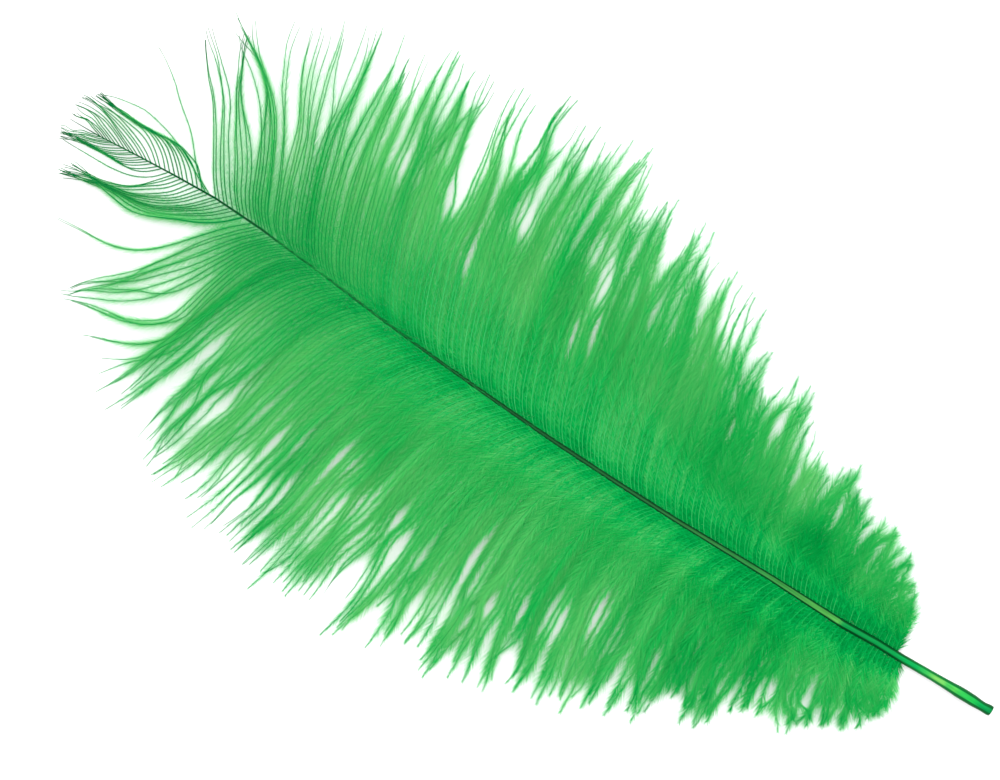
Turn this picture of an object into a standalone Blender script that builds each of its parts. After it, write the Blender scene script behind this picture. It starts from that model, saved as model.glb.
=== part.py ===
"""An ostrich plume lying on a table: one shaft with two vanes of flat, tapering locks grown out of it.

The shaft runs along X with its cut quill at -X and its tip at +X. Z = 0 is the table. The shaft's underside
is flat where it rests, and the locks arch out from its sides and come down to the table at their ends.
"""

import math
import random

import bmesh
import bpy
import numpy as np

MM = 0.001
PART_NAME = "feather"

# The feather is drawn from its cut end, then moved so that its box is centred over the origin.
CENTRE_ALONG = 150.5
CENTRE_ACROSS = 0.8

# Shaft, in millimetres: along, across, half width, height of its underside above the table.
SHAFT = (
    (0.0, 0.0, 1.30, 2.4),
    (2.5, 0.0, 1.42, 2.2),
    (5.0, 0.0, 1.70, 2.0),
    (8.5, 0.0, 1.90, 1.8),
    (12.0, 0.1, 1.85, 1.6),
    (16.0, 0.4, 1.62, 1.3),
    (21.0, 0.8, 1.42, 1.0),
    (28.0, 1.0, 1.22, 0.6),
    (36.0, 1.1, 1.25, 0.3),
    (47.0, 1.8, 1.25, 0.1),
    (48.2, 1.8, 1.20, 0.1),
    (57.0, 1.8, 1.12, 0.0),
    (70.0, 1.8, 1.00, 0.0),
    (85.0, 2.2, 0.90, 0.0),
    (100.0, 2.6, 0.82, 0.0),
    (120.0, 2.7, 0.78, 0.0),
    (140.0, 2.5, 0.74, 0.0),
    (160.0, 1.9, 0.66, 0.0),
    (180.0, 1.0, 0.58, 0.0),
    (200.0, -0.2, 0.48, 0.0),
    (220.0, -1.7, 0.40, 0.1),
    (240.0, -3.0, 0.34, 0.5),
    (255.0, -3.3, 0.30, 1.0),
    (268.0, -2.5, 0.25, 1.6),
    (280.0, -1.5, 0.20, 2.2),
    (291.0, -0.4, 0.15, 2.8),
    (300.0, 0.0, 0.09, 3.2),
)
GROOVE_START = 47.6

# Unit sections, anticlockwise seen from the tip: the round quill, and the flat-bottomed, grooved shaft.
ROUND_ANGLES = (-60, -32, 0, 30, 55, 80, 100, 125, 150, 180, 212, 240)
GROOVED_SECTION = (
    (0.55, -0.86), (0.90, -0.50), (1.00, 0.00), (0.94, 0.50), (0.66, 0.80), (0.24, 0.42),
    (-0.24, 0.42), (-0.66, 0.80), (-0.94, 0.50), (-1.00, 0.00), (-0.90, -0.50), (-0.55, -0.86),
)
QUILL_BORE_RADIUS = 0.75
QUILL_BORE_DEPTH = 9.0
QUILL_BORE_SIDES = 12

# Vanes, in millimetres and degrees from the tip's direction. Each row: where on the shaft a lock leaves, its
# heading there, its end along the feather, how far the end is out from the middle line, its heading there.
PLUS_VANE = (
    (28.0, 88, 22.0, 16.0, 124),
    (34.0, 84, 28.0, 22.0, 114),
    (43.0, 80, 38.0, 29.5, 102),
    (52.0, 72, 50.0, 36.5, 96),
    (64.0, 64, 66.0, 46.0, 92),
    (80.0, 57, 82.0, 55.5, 92),
    (100.0, 50, 104.0, 65.0, 93),
    (120.0, 50, 128.0, 73.0, 88),
    (140.0, 49, 156.0, 76.0, 81),
    (160.0, 48, 184.0, 79.0, 76),
    (180.0, 46, 206.0, 75.0, 73),
    (195.0, 44, 221.0, 70.5, 69),
    (210.0, 42, 235.0, 65.5, 66),
    (225.0, 40, 251.0, 57.0, 60),
    (238.0, 38, 264.0, 48.5, 53),
    (249.0, 37, 277.0, 42.0, 47),
    (257.0, 36, 285.5, 28.0, 40),
    (264.0, 33, 295.0, 16.0, 12),
    (272.0, 29, 297.0, 13.0, 8),
    (288.0, 24, 300.6, 5.0, 8),
)
MINUS_VANE = (
    (30.0, 74, 29.5, 15.0, 112),
    (38.0, 78, 35.5, 21.0, 100),
    (48.0, 78, 50.0, 28.0, 88),
    (60.0, 75, 67.0, 35.5, 78),
    (80.0, 70, 93.0, 50.0, 74),
    (100.0, 67, 117.0, 63.5, 77),
    (125.0, 65, 143.0, 73.0, 79),
    (150.0, 62, 168.0, 76.0, 79),
    (170.0, 60, 189.0, 78.0, 79),
    (190.0, 57, 211.0, 75.0, 77),
    (210.0, 55, 232.0, 69.5, 73),
    (225.0, 53, 247.0, 64.0, 70),
    (238.0, 52, 262.0, 56.5, 66),
    (248.0, 51, 273.0, 49.5, 62),
    (257.5, 48, 283.5, 40.5, 56),
    (264.0, 38, 297.0, 10.0, -2),
    (274.0, 33, 298.5, 9.0, 0),
    (288.0, 26, 301.0, 4.5, 4),
)
FIRST_LOCK_PLUS = 28.0
FIRST_LOCK_MINUS = 30.0
LAST_LOCK = 288.0
LOCKS_PER_VANE = 34
LOCK_SECTION = ((1.0, 0.0), (0.12, 0.13), (-1.0, 0.0), (-0.12, -0.13))

# Along a lock: share of its length, and its width there as a share of the room between its neighbours.
LOCK_WIDTHS = ((0.0, 0.70), (0.08, 0.86), (0.22, 1.04), (0.38, 1.14), (0.55, 1.18), (0.72, 1.16), (0.87, 1.04),
               (0.955, 0.74), (1.0, 0.26))
LEAST_WIDTH = 1.2
MOST_WIDTH = 11.0
ROOT_PULL = 0.30
END_PULL = 0.34
LOW_ARCH = 0.045
HIGH_ARCH = 0.10
LOW_END = 0.9
HIGH_END = 2.6
ARCH_LEAN = 0.85
MOST_TURN = 7.0
LENGTH_SPREAD = 0.035
HEIGHT_SPREAD = 0.18
SEED = 11

# The crowded roots of the barbs: a thin band on both sides of the shaft, full width except near its ends.
BAND_WIDTH = 6.4
BAND_STEPS = 18
BAND_END_WIDTH = 2.0
BAND_FULLNESS = 0.5

WELD_DISTANCE = 1e-7

PLUME_GREEN = (0.012, 0.40, 0.075, 1.0)
PLUME_ROUGHNESS = 0.72


def clear_scene():
    for found in list(bpy.data.objects):
        bpy.data.objects.remove(found, do_unlink=True)


def new_collection(name):
    made = bpy.data.collections.new(name)
    bpy.context.scene.collection.children.link(made)
    return made


def placed(along, across, height):
    """A point measured from the cut end of the quill, in metres in the feather's own frame."""
    return ((along - CENTRE_ALONG) * MM, (across - CENTRE_ACROSS) * MM, height * MM)


def shaft_at(along):
    """(across, half width, underside height) of the shaft at a distance from its cut end."""
    table = np.array(SHAFT)
    return [float(np.interp(along, table[:, 0], table[:, column])) for column in (1, 2, 3)]


def middle_height(along):
    """Height of the shaft's side, where the locks leave it."""
    _, half_width, underside = shaft_at(along)
    return underside + half_width * -GROOVED_SECTION[0][1]


def shaft_section(along):
    if along < GROOVE_START:
        return [(math.cos(math.radians(turn)), math.sin(math.radians(turn))) for turn in ROUND_ANGLES]
    return GROOVED_SECTION


def build_shaft(material, collection):
    """A loft through unlike sections: round at the quill, flat below and grooved above from the groove's start."""
    mesh = bpy.data.meshes.new("shaft")
    shaft = bpy.data.objects.new("shaft", mesh)
    built = bmesh.new()
    rings = []
    for along, across, half_width, underside in SHAFT:
        section = shaft_section(along)
        lowest = min(height for _, height in section)
        ring = []
        for side, height in section:
            above = underside + (height - lowest) * half_width
            ring.append(built.verts.new(placed(along, across + side * half_width, above)))
        rings.append(ring)
    around = len(rings[0])
    for ring, following in zip(rings, rings[1:]):
        for index in range(around):
            after = (index + 1) % around
            built.faces.new((ring[index], following[index], following[after], ring[after]))
    built.faces.new(rings[0])
    built.faces.new(rings[-1])
    bmesh.ops.recalc_face_normals(built, faces=built.faces)
    bmesh.ops.triangulate(built, faces=built.faces)
    built.to_mesh(mesh)
    built.free()
    mesh.materials.append(material)
    collection.objects.link(shaft)
    return shaft


def build_bore(collection):
    """The hollow of the cut quill, as a cutter that starts outside its end."""
    _, half_width, underside = shaft_at(0.0)
    length = 2 * QUILL_BORE_DEPTH
    bpy.ops.mesh.primitive_cylinder_add(
        vertices=QUILL_BORE_SIDES, radius=QUILL_BORE_RADIUS * MM, depth=length * MM,
        location=placed(0.0, 0.0, underside + half_width), rotation=(0.0, math.pi / 2, 0.0))
    bore = bpy.context.object
    bore.name = "quill_bore"
    for other in list(bore.users_collection):
        other.objects.unlink(bore)
    collection.objects.link(bore)
    bore.hide_render = True
    bore.display_type = "WIRE"
    return bore


def lock_row(vane, root):
    """A vane's directions and ends at a place on the shaft between two of its named rows."""
    table = np.array(vane, float)
    return [float(np.interp(root, table[:, 0], table[:, column])) for column in range(1, 5)]


def lock_line(vane, root, side, longer=1.0):
    """Points in the plane of the table from the shaft's middle to the lock's end, at the shares of LOCK_WIDTHS."""
    leave, end_along, end_out, arrive = lock_row(vane, root)
    start = np.array((root, shaft_at(root)[0]))
    end = start + (np.array((end_along, side * end_out)) - start) * longer
    length = float(np.hypot(*(end - start)))
    leave, arrive = math.radians(leave), math.radians(arrive)
    first = start + ROOT_PULL * length * np.array((math.cos(leave), side * math.sin(leave)))
    second = end - END_PULL * length * np.array((math.cos(arrive), side * math.sin(arrive)))
    share = np.array([share for share, _ in LOCK_WIDTHS])[:, None]
    rest = 1.0 - share
    line = rest ** 3 * start + 3 * rest ** 2 * share * first + 3 * rest * share ** 2 * second + share ** 3 * end
    return line, length


def lock_widths(vane, root, side, spacing):
    """How wide the lock is at each share: a share of the room between the lines of its two neighbours."""
    before, _ = lock_line(vane, root - 0.5 * spacing, side)
    after, _ = lock_line(vane, root + 0.5 * spacing, side)
    line, _ = lock_line(vane, root, side)
    heading = np.gradient(line, axis=0)
    heading /= np.hypot(heading[:, 0], heading[:, 1])[:, None]
    apart = after - before
    room = np.abs(apart[:, 0] * heading[:, 1] - apart[:, 1] * heading[:, 0])
    return [share_of_room * min(max(float(wide), LEAST_WIDTH), MOST_WIDTH)
            for (_, share_of_room), wide in zip(LOCK_WIDTHS, room)]


def lock_heights(root, length, arch, end_height):
    """The lock leaves the shaft's side, rises in an arch and comes down to the table, or to the raised tip."""
    start = middle_height(root)
    end = end_height + shaft_at(root)[2]
    return [start + (end - start) * share + arch * length * math.sin(math.pi * share ** ARCH_LEAN)
            for share, _ in LOCK_WIDTHS]


def add_spline(lines, points, widths, turns):
    """One flat, tapering sweep: points as (along, across, height), a full width and a turn at each."""
    spline = lines.splines.new("POLY")
    spline.points.add(len(points) - 1)
    for made, point, width, turn in zip(spline.points, points, widths, turns):
        made.co = (*placed(*point), 1.0)
        made.radius = 0.5 * width
        made.tilt = turn


def add_root_band(lines):
    points = []
    widths = []
    for step in range(BAND_STEPS + 1):
        share = step / BAND_STEPS
        along = FIRST_LOCK_MINUS + (LAST_LOCK - FIRST_LOCK_MINUS) * share
        points.append((along, shaft_at(along)[0], middle_height(along)))
        widths.append(BAND_END_WIDTH + (BAND_WIDTH - BAND_END_WIDTH) * math.sin(math.pi * share) ** BAND_FULLNESS)
    add_spline(lines, points, widths, [0.0] * len(points))


def build_locks(material, collection):
    """Every lock is one tapering spline of a flat bevelled curve; low and high locks alternate, so they lap."""
    draw = random.Random(SEED)
    profile = bpy.data.curves.new("lock_section", "CURVE")
    profile.dimensions = "2D"
    outline = profile.splines.new("POLY")
    outline.points.add(len(LOCK_SECTION) - 1)
    for point, (side, height) in zip(outline.points, LOCK_SECTION):
        point.co = (side * MM, height * MM, 0.0, 1.0)
    outline.use_cyclic_u = True
    section = bpy.data.objects.new("lock_section", profile)
    collection.objects.link(section)

    lines = bpy.data.curves.new("lock_lines", "CURVE")
    lines.dimensions = "3D"
    lines.twist_mode = "Z_UP"
    lines.bevel_mode = "OBJECT"
    lines.bevel_object = section
    lines.use_fill_caps = True
    for vane, side, first in ((PLUS_VANE, 1, FIRST_LOCK_PLUS), (MINUS_VANE, -1, FIRST_LOCK_MINUS)):
        spacing = (LAST_LOCK - first) / (LOCKS_PER_VANE - 1)
        for index in range(LOCKS_PER_VANE):
            root = first + spacing * index
            longer = 1.0 + draw.uniform(-LENGTH_SPREAD, LENGTH_SPREAD)
            lift = 1.0 + draw.uniform(-HEIGHT_SPREAD, HEIGHT_SPREAD)
            turn = math.radians(draw.uniform(-MOST_TURN, MOST_TURN))
            arch, end_height = (HIGH_ARCH, HIGH_END) if index % 2 else (LOW_ARCH, LOW_END)
            line, length = lock_line(vane, root, side, longer)
            heights = lock_heights(root, length, arch * lift, end_height)
            widths = lock_widths(vane, root, side, spacing)
            points = [(along, across, height) for (along, across), height in zip(line, heights)]
            turns = [turn * math.sin(math.pi * share) for share, _ in LOCK_WIDTHS]
            add_spline(lines, points, widths, turns)
    add_root_band(lines)
    curve = bpy.data.objects.new("lock_lines", lines)
    collection.objects.link(curve)

    graph = bpy.context.evaluated_depsgraph_get()
    mesh = bpy.data.meshes.new_from_object(curve.evaluated_get(graph))
    mesh.name = "locks"
    welded = bmesh.new()
    welded.from_mesh(mesh)
    bmesh.ops.remove_doubles(welded, verts=welded.verts, dist=WELD_DISTANCE)
    bmesh.ops.recalc_face_normals(welded, faces=welded.faces)
    welded.to_mesh(mesh)
    welded.free()
    mesh.materials.clear()
    mesh.materials.append(material)
    locks = bpy.data.objects.new("locks", mesh)
    locks.matrix_world = curve.matrix_world
    collection.objects.link(locks)
    bpy.data.objects.remove(curve, do_unlink=True)
    bpy.data.objects.remove(section, do_unlink=True)
    locks.hide_render = True
    locks.display_type = "WIRE"
    return locks


def plume_material():
    material = bpy.data.materials.new("plume")
    material.use_nodes = True
    shader = material.node_tree.nodes["Principled BSDF"]
    shader.inputs["Base Color"].default_value = PLUME_GREEN
    shader.inputs["Roughness"].default_value = PLUME_ROUGHNESS
    shader.inputs["Metallic"].default_value = 0.0
    return material


def build_feather():
    clear_scene()
    feather_collection = new_collection("ostrich_feather")
    helper_collection = new_collection("helpers")
    material = plume_material()
    feather = build_shaft(material, feather_collection)
    feather.name = PART_NAME
    bore = build_bore(helper_collection)
    locks = build_locks(material, helper_collection)

    hollow = feather.modifiers.new("quill hollow", "BOOLEAN")
    hollow.operation = "DIFFERENCE"
    hollow.solver = "EXACT"
    hollow.object = bore

    grown = feather.modifiers.new("grown locks", "BOOLEAN")
    grown.operation = "UNION"
    grown.solver = "EXACT"
    grown.use_self = True
    grown.object = locks
    return feather


build_feather()
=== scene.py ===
"""A green-dyed ostrich plume lying on a pale table, seen from straight above.

The barbs are single swept lines that leave the shaft in two rows, draw together into loose locks and carry
the fine barbules that make the plume soft. Everything is drawn in millimetres from the cut end of the quill and
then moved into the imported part's frame: +X along the shaft to the tip, +Y and -Y to the two vanes, +Z up.
"""

import math
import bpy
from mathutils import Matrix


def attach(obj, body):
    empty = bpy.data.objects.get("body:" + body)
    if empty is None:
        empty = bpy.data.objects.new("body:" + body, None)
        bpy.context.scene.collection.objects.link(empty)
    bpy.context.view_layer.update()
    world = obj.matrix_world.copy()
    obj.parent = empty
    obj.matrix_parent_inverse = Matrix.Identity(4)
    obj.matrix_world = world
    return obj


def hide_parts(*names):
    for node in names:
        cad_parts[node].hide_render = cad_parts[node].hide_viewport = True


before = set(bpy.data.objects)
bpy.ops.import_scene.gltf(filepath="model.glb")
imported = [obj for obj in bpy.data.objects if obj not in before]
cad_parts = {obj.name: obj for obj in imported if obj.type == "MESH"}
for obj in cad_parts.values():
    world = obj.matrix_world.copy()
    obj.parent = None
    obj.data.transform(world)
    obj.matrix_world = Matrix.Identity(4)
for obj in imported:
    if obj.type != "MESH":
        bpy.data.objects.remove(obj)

from types import SimpleNamespace

import bmesh
import bpy
import numpy as np
from bpy.props import FloatProperty, FloatVectorProperty, IntProperty, PointerProperty
from mathutils import Matrix

bl_info = {
    "name": "Ostrich Plume",
    "version": (1, 0, 0),
    "blender": (4, 5, 0),
    "location": "3D View > Sidebar > Plume",
    "description": "Builds a dyed ostrich plume: its shaft, barbs, barbules and a plain studio",
    "category": "Add Mesh",
}

MM = 0.001
CAD_NODE = "feather"
MAP = "OFBake"
BODY = "root"
CENTRE_ALONG = 150.5
CENTRE_ACROSS = 0.8

# Shaft, in millimetres: along, across, half width, height of its underside above the table.
SHAFT = (
    (0.0, -0.10, 1.53, 2.4),
    (0.8, -0.05, 1.52, 2.4),
    (1.6, 0.03, 1.44, 2.3),
    (2.6, 0.10, 1.38, 2.3),
    (4.0, 0.12, 1.45, 2.1),
    (5.2, 0.13, 1.56, 2.0),
    (7.0, 0.14, 1.63, 1.9),
    (8.8, 0.18, 1.66, 1.8),
    (10.5, 0.24, 1.60, 1.7),
    (12.5, 0.32, 1.50, 1.6),
    (15.0, 0.40, 1.36, 1.4),
    (18.0, 0.50, 1.28, 1.2),
    (22.0, 0.70, 1.25, 1.0),
    (28.0, 1.00, 1.24, 0.6),
    (36.0, 1.1, 1.25, 0.3),
    (47.0, 1.8, 1.25, 0.1),
    (48.2, 1.8, 1.20, 0.1),
    (57.0, 1.8, 1.12, 0.0),
    (70.0, 1.8, 1.00, 0.0),
    (85.0, 2.2, 0.90, 0.0),
    (100.0, 2.6, 0.82, 0.0),
    (120.0, 2.7, 0.78, 0.0),
    (140.0, 2.5, 0.74, 0.0),
    (160.0, 1.9, 0.66, 0.0),
    (180.0, 1.0, 0.58, 0.0),
    (200.0, -0.2, 0.48, 0.0),
    (220.0, -1.7, 0.40, 0.1),
    (240.0, -3.0, 0.34, 0.5),
    (255.0, -3.3, 0.30, 1.0),
    (268.0, -2.5, 0.25, 1.6),
    (280.0, -1.5, 0.20, 2.2),
    (291.0, -0.4, 0.15, 2.8),
    (300.0, 0.0, 0.09, 3.2),
)
SHAFT_LENGTH = 300.0
SHAFT_STEP = 1.5
SHAFT_SIDES = 28
GROOVE_START = 47.4
GROOVE_FULL = 48.1
GROOVE_DEPTH = 0.40
GROOVE_WIDTH = 0.40
GROOVE_SHALLOWER = 0.7
GROOVE_SHALLOWS = (170.0, 240.0)
BOXED_SIDE = 0.8
BOXED_TOP = 0.85
FLATNESS = 0.9
LOWEST_SIDE = -0.86
RIPPLE = 0.012
RIPPLE_TURNS = (1.9, 0.7)
CLOSE_RINGS = (0.5, 6.0, 0.5)
CUT_LIP = 0.94
BORE_POINT = 0.02
BORE_RADIUS = 0.75
BORE_DEPTH = 9.0

# Vanes, in millimetres and degrees from the tip's direction. Each row: where on the shaft a barb leaves, its
# heading there, its end along the feather, how far its end is out from the middle line, its heading there.
PLUS_ROWS = (
    (27, 92, 22.3, 16, 122),
    (32, 86, 26.5, 20.7, 114),
    (38, 82, 32.5, 26.5, 106),
    (45, 78, 41, 32, 100),
    (52, 72, 50, 37.5, 96),
    (64, 64, 66, 46, 92),
    (80, 57, 82, 55.5, 92),
    (100, 50, 104, 66.2, 93),
    (120, 50, 128, 75.2, 88),
    (140, 49, 156, 78, 81),
    (160, 48, 184, 79.5, 76),
    (180, 46, 206, 75.5, 73),
    (195, 44, 221, 71, 69),
    (210, 42, 235, 66, 66),
    (223, 40, 254, 57, 58),
)
MINUS_ROWS = (
    (29, 72, 32.5, 12.6, 105),
    (34, 76, 35, 17.6, 100),
    (40, 79, 41, 23, 94),
    (48, 78, 51, 29, 89),
    (60, 75, 66, 34.8, 84),
    (80, 70, 91, 46.5, 82),
    (100, 67, 115, 58.5, 85),
    (125, 65, 142, 70.5, 87),
    (150, 62, 168, 76.5, 88),
    (170, 60, 189, 78.5, 88),
    (190, 57, 211, 77, 85),
    (210, 55, 232, 71, 79),
    (221, 53, 246, 65.5, 72),
)

# Nearer the tip the barbs part into groups. Each row: where a barb leaves the shaft and the points it passes,
# along the feather and out from the middle line. Barbs between two rows of a group pass between their points.
PLUS_GUIDES = (
    (
        (224.5, (229.5, 2), (233.5, 9), (237.5, 22), (241, 36), (245, 44), (249, 47), (255, 49.5),
         (260, 52)),
        (227, (232, 2), (236, 9), (239, 19), (241.5, 27), (244, 34), (248, 39.5), (252, 43.5), (258, 47),
         (264, 49.7)),
        (229, (234, 2), (238, 9), (241, 20), (244.5, 34), (248, 38.5), (253, 41.5), (259, 44.3),
         (265, 46.3)),
    ),
    (
        (230, (235, 2), (239, 9), (241.8, 19), (244, 29), (247, 32), (252, 36), (258, 38), (263, 37.5),
         (268, 36.8), (272, 36.3), (275, 38)),
        (231.5, (236.5, 2), (240.5, 9), (243.5, 20), (246, 30.5), (250, 35), (256, 38.2), (262, 40),
         (268, 41), (274, 42.5)),
        (233, (238, 2), (242, 9), (246.5, 20), (250, 29.5), (255, 34), (261, 37.5), (267, 40), (275, 42.5)),
        (235, (241, 4), (245, 11.5), (250, 20), (256, 27), (262, 32), (268, 35.5), (271, 37), (275, 40.5),
         (278, 42)),
        (237.5, (243.5, 4), (249.5, 13), (256, 22), (262, 30.5), (268, 35), (272, 38), (274.5, 41)),
        (240, (246, 3.5), (252, 11), (258, 19), (264, 27), (269, 32.5), (273, 36), (275, 39)),
        (241.5, (247.5, 3.5), (253.5, 11), (260, 22), (265, 28), (271, 34), (273.5, 37.5), (275.5, 40)),
    ),
    (
        (242.8, (248, 2), (253, 8), (258, 14), (263, 19), (268, 22), (274, 23.7), (281, 24), (288.5, 24.5)),
    ),
    (
        (244.1, (250, 2.5), (255, 6.5), (259, 10), (263, 14.5), (268, 19.5), (275, 25), (281, 27.8),
         (285.5, 30)),
    ),
    (
        (245.5, (250, 1.5), (255, 5), (260, 7.3), (266, 10.2), (272, 12), (279, 11.4), (284, 10.8),
         (288, 10), (293, 9.7)),
        (248, (252, 0.8), (257, 4.5), (262, 7.5), (268, 10.2), (274, 11), (280, 10.6), (286, 11.8),
         (294, 13)),
        (251, (255, 1), (260, 4.6), (265, 7.8), (271, 9.8), (277, 10.2), (283, 11), (289, 12.5),
         (296, 14.3)),
        (254, (258, 1.4), (262, 4.6), (267, 7.6), (273, 9.2), (279, 10), (285, 11.4), (290, 12.8),
         (294, 14.4)),
        (257, (261, 1.6), (265, 5), (270, 7.6), (275, 9.3), (280, 10), (285, 10.8), (290, 12.2), (297, 12)),
        (260, (264, 2.2), (268, 5.3), (272, 7.5), (276, 9), (281, 10.2), (286, 10.3), (291, 12),
         (295, 13.5)),
        (263, (266, 1.8), (270, 5), (274, 7.4), (278, 8.8), (282, 9.8), (286, 10.6), (291, 12.3),
         (293.5, 12.8)),
        (266, (269, 1.2), (273, 4.5), (277, 7.3), (281, 8.9), (284, 10), (287, 10.5), (290, 11.3),
         (296, 11.6)),
        (268.2, (271, 1.2), (274, 4.5), (277.5, 7), (281, 8.7), (284, 9.9), (286, 10.1), (289, 9.9),
         (293, 9.7)),
    ),
    (
        (269.6, (272, 0.6), (274.5, 2.5), (277, 3.7), (280, 4.6), (285, 5.5), (291, 5.8), (299, 5.3)),
    ),
    (
        (271, (274, 0.8), (277, 2.4), (279.5, 2.9), (284, 3.1), (288, 3), (292, 3.4), (296, 3.8),
         (300, 4.6)),
        (273.5, (276.5, 0.6), (279.5, 2.4), (283, 2.9), (287, 2.9), (291, 3.2), (295, 3.8), (300, 5.6)),
        (276, (279, 0.6), (282, 2.2), (285, 2.8), (289, 3), (293, 3.5), (297, 3.8), (300, 4.5)),
        (279, (281.5, 0.4), (284, 1.8), (287, 2.8), (290, 3.1), (293, 3.7), (296, 4), (299, 5)),
        (282, (284.5, 0.5), (287, 1.8), (290, 2.8), (293, 3.3), (296, 3.7), (298, 4), (300.5, 4.2)),
        (285.5, (288, 0.5), (290.5, 1.6), (293, 2.4), (295.5, 3.2), (297.5, 3.6), (299, 4), (300.5, 4.8)),
        (289, (291, 0.3), (293, 1), (295, 1.8), (297, 2.5), (298.5, 3), (299.5, 3.3), (300.5, 3.7)),
        (292, (294, 0.4), (296, 1), (298, 1.8), (299, 2.3), (300, 2.8), (300.5, 3), (301, 3.3)),
    ),
)
MINUS_GUIDES = (
    (
        (222.5, (226.5, 5), (231, 14), (235.5, 26), (239.5, 40), (243, 50), (247, 59), (249.5, 63.5)),
        (225, (229, 5), (233.5, 14), (238.5, 27), (243, 38), (246, 50), (247.3, 58), (248, 65)),
        (227.5, (231.5, 5), (236.5, 15), (242, 30), (246, 40), (249, 48), (251.3, 55), (254, 60)),
        (229.5, (234, 6), (239, 16), (244, 30), (248.5, 38), (251, 43), (253, 49), (255, 56), (256, 58.5)),
        (231.5, (236, 6), (241, 17), (246, 31), (251, 39), (255, 44.5), (258, 50), (260, 56)),
        (234, (238.5, 7), (243, 17), (248, 26), (252, 32), (256, 38), (260, 46), (261.5, 50),
         (262.5, 56.5)),
    ),
    (
        (236, (240.5, 7.5), (245, 17), (250, 27), (255, 34), (262, 39.5), (266, 42.5), (270, 47),
         (273, 51)),
        (238, (242.5, 8), (247, 17.5), (252, 27), (258, 35.5), (263, 40), (268, 43.5), (273, 46.5),
         (279, 49.8)),
        (240.5, (245, 8.5), (249.5, 18), (254, 26.5), (258.5, 35), (263, 40), (267, 42), (271, 43.3),
         (275, 45)),
        (243.5, (247.5, 8), (251.5, 16), (256, 23), (260.5, 28), (265, 33.5), (268, 38), (272, 42),
         (273.5, 45.5)),
        (246.5, (250.5, 8), (254.5, 15), (259, 21), (263, 27), (265.5, 31), (267.5, 36), (269.5, 41),
         (271, 46)),
        (249, (252.5, 7.5), (256.5, 14), (260.5, 20), (263.5, 26), (266.5, 32), (270, 36.5), (275, 40.5),
         (279, 44.5)),
        (251.5, (255, 7.5), (259, 13.5), (263, 20.5), (267, 27.5), (272, 33.5), (276, 38), (282, 42.5)),
        (254, (257.5, 7.5), (261, 13), (265, 20), (268.5, 25.5), (272, 30), (276, 33.5), (280, 36.5),
         (282.5, 39.5)),
        (255.5, (259, 8), (262.5, 14), (266, 20), (270, 25.5), (275, 30.5), (279.5, 36), (281, 38.3)),
    ),
    (
        (256.9, (262, 6), (266, 10), (270.5, 15), (277, 20.5), (281, 24), (286, 27), (291, 29.5)),
    ),
    (
        (258.1, (262, 5.5), (267, 8.2), (272, 10.4), (277, 12.2), (283.5, 13.4), (288, 12.7), (293, 11.3),
         (297, 9.5)),
    ),
    (
        (259.2, (262, 6.5), (264, 8.3), (267, 9.3), (271, 10.2), (276, 9.9), (283, 9), (290, 9.3),
         (297.5, 10.2)),
        (261, (264, 6.3), (267, 8.3), (270, 9.6), (275, 10), (283, 9), (290, 9.2), (296, 9.6)),
        (264, (267, 6), (270, 8.3), (274, 9.8), (279, 9.4), (284, 9), (290, 9.2), (296.5, 9.7)),
        (268, (271, 5.6), (274, 8), (278, 9.2), (283, 9.1), (289, 9.1), (297, 9.8)),
        (271, (274, 5.5), (278, 8), (282, 9), (287, 9), (292, 9.3), (298, 9.3)),
        (273.5, (277, 5), (281, 7.2), (286, 8.3), (291, 8.9), (295, 9), (298.5, 8.8)),
        (275.5, (279, 4), (283, 5.5), (288, 7), (292, 7.8), (296, 8.3), (299, 8.7)),
        (277.5, (281, 3.6), (285, 5.2), (289, 6.3), (293, 6.8), (297, 6.9), (301, 6.8)),
        (280, (284, 3.2), (287, 4.6), (290, 5.9), (293, 6.6), (297, 6.9), (300.5, 6.8)),
        (283, (286.5, 2.9), (289.5, 4), (292, 4.7), (295, 5), (298, 4.9), (301, 4.4)),
        (286, (289.5, 2.4), (292, 3.2), (294.5, 4), (297, 4.3), (299, 4.4), (301, 4.3)),
        (288.5, (291.5, 1.9), (294, 2.5), (296, 2.6), (298, 2.7), (299.5, 2.7)),
        (292, (294.5, 1.1), (297, 1.4), (299, 1.4), (301, 1.1)),
    ),
)
FIRST_PLUS = 27.5
FIRST_MINUS = 29.5
LAST_ROOT = 292.0
ROOT_PULL = 0.30
END_PULL = 0.34
ROW_STEP = 2.0
GROUP_EDGE = 0.01
CURVE_POINTS = 60
SPAN_POINTS = 9
SEARCH_ROOTS = 500
SEARCH_SHARES = 90
FIRST_SHARE = 0.1
LINE_POINTS = 65

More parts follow.
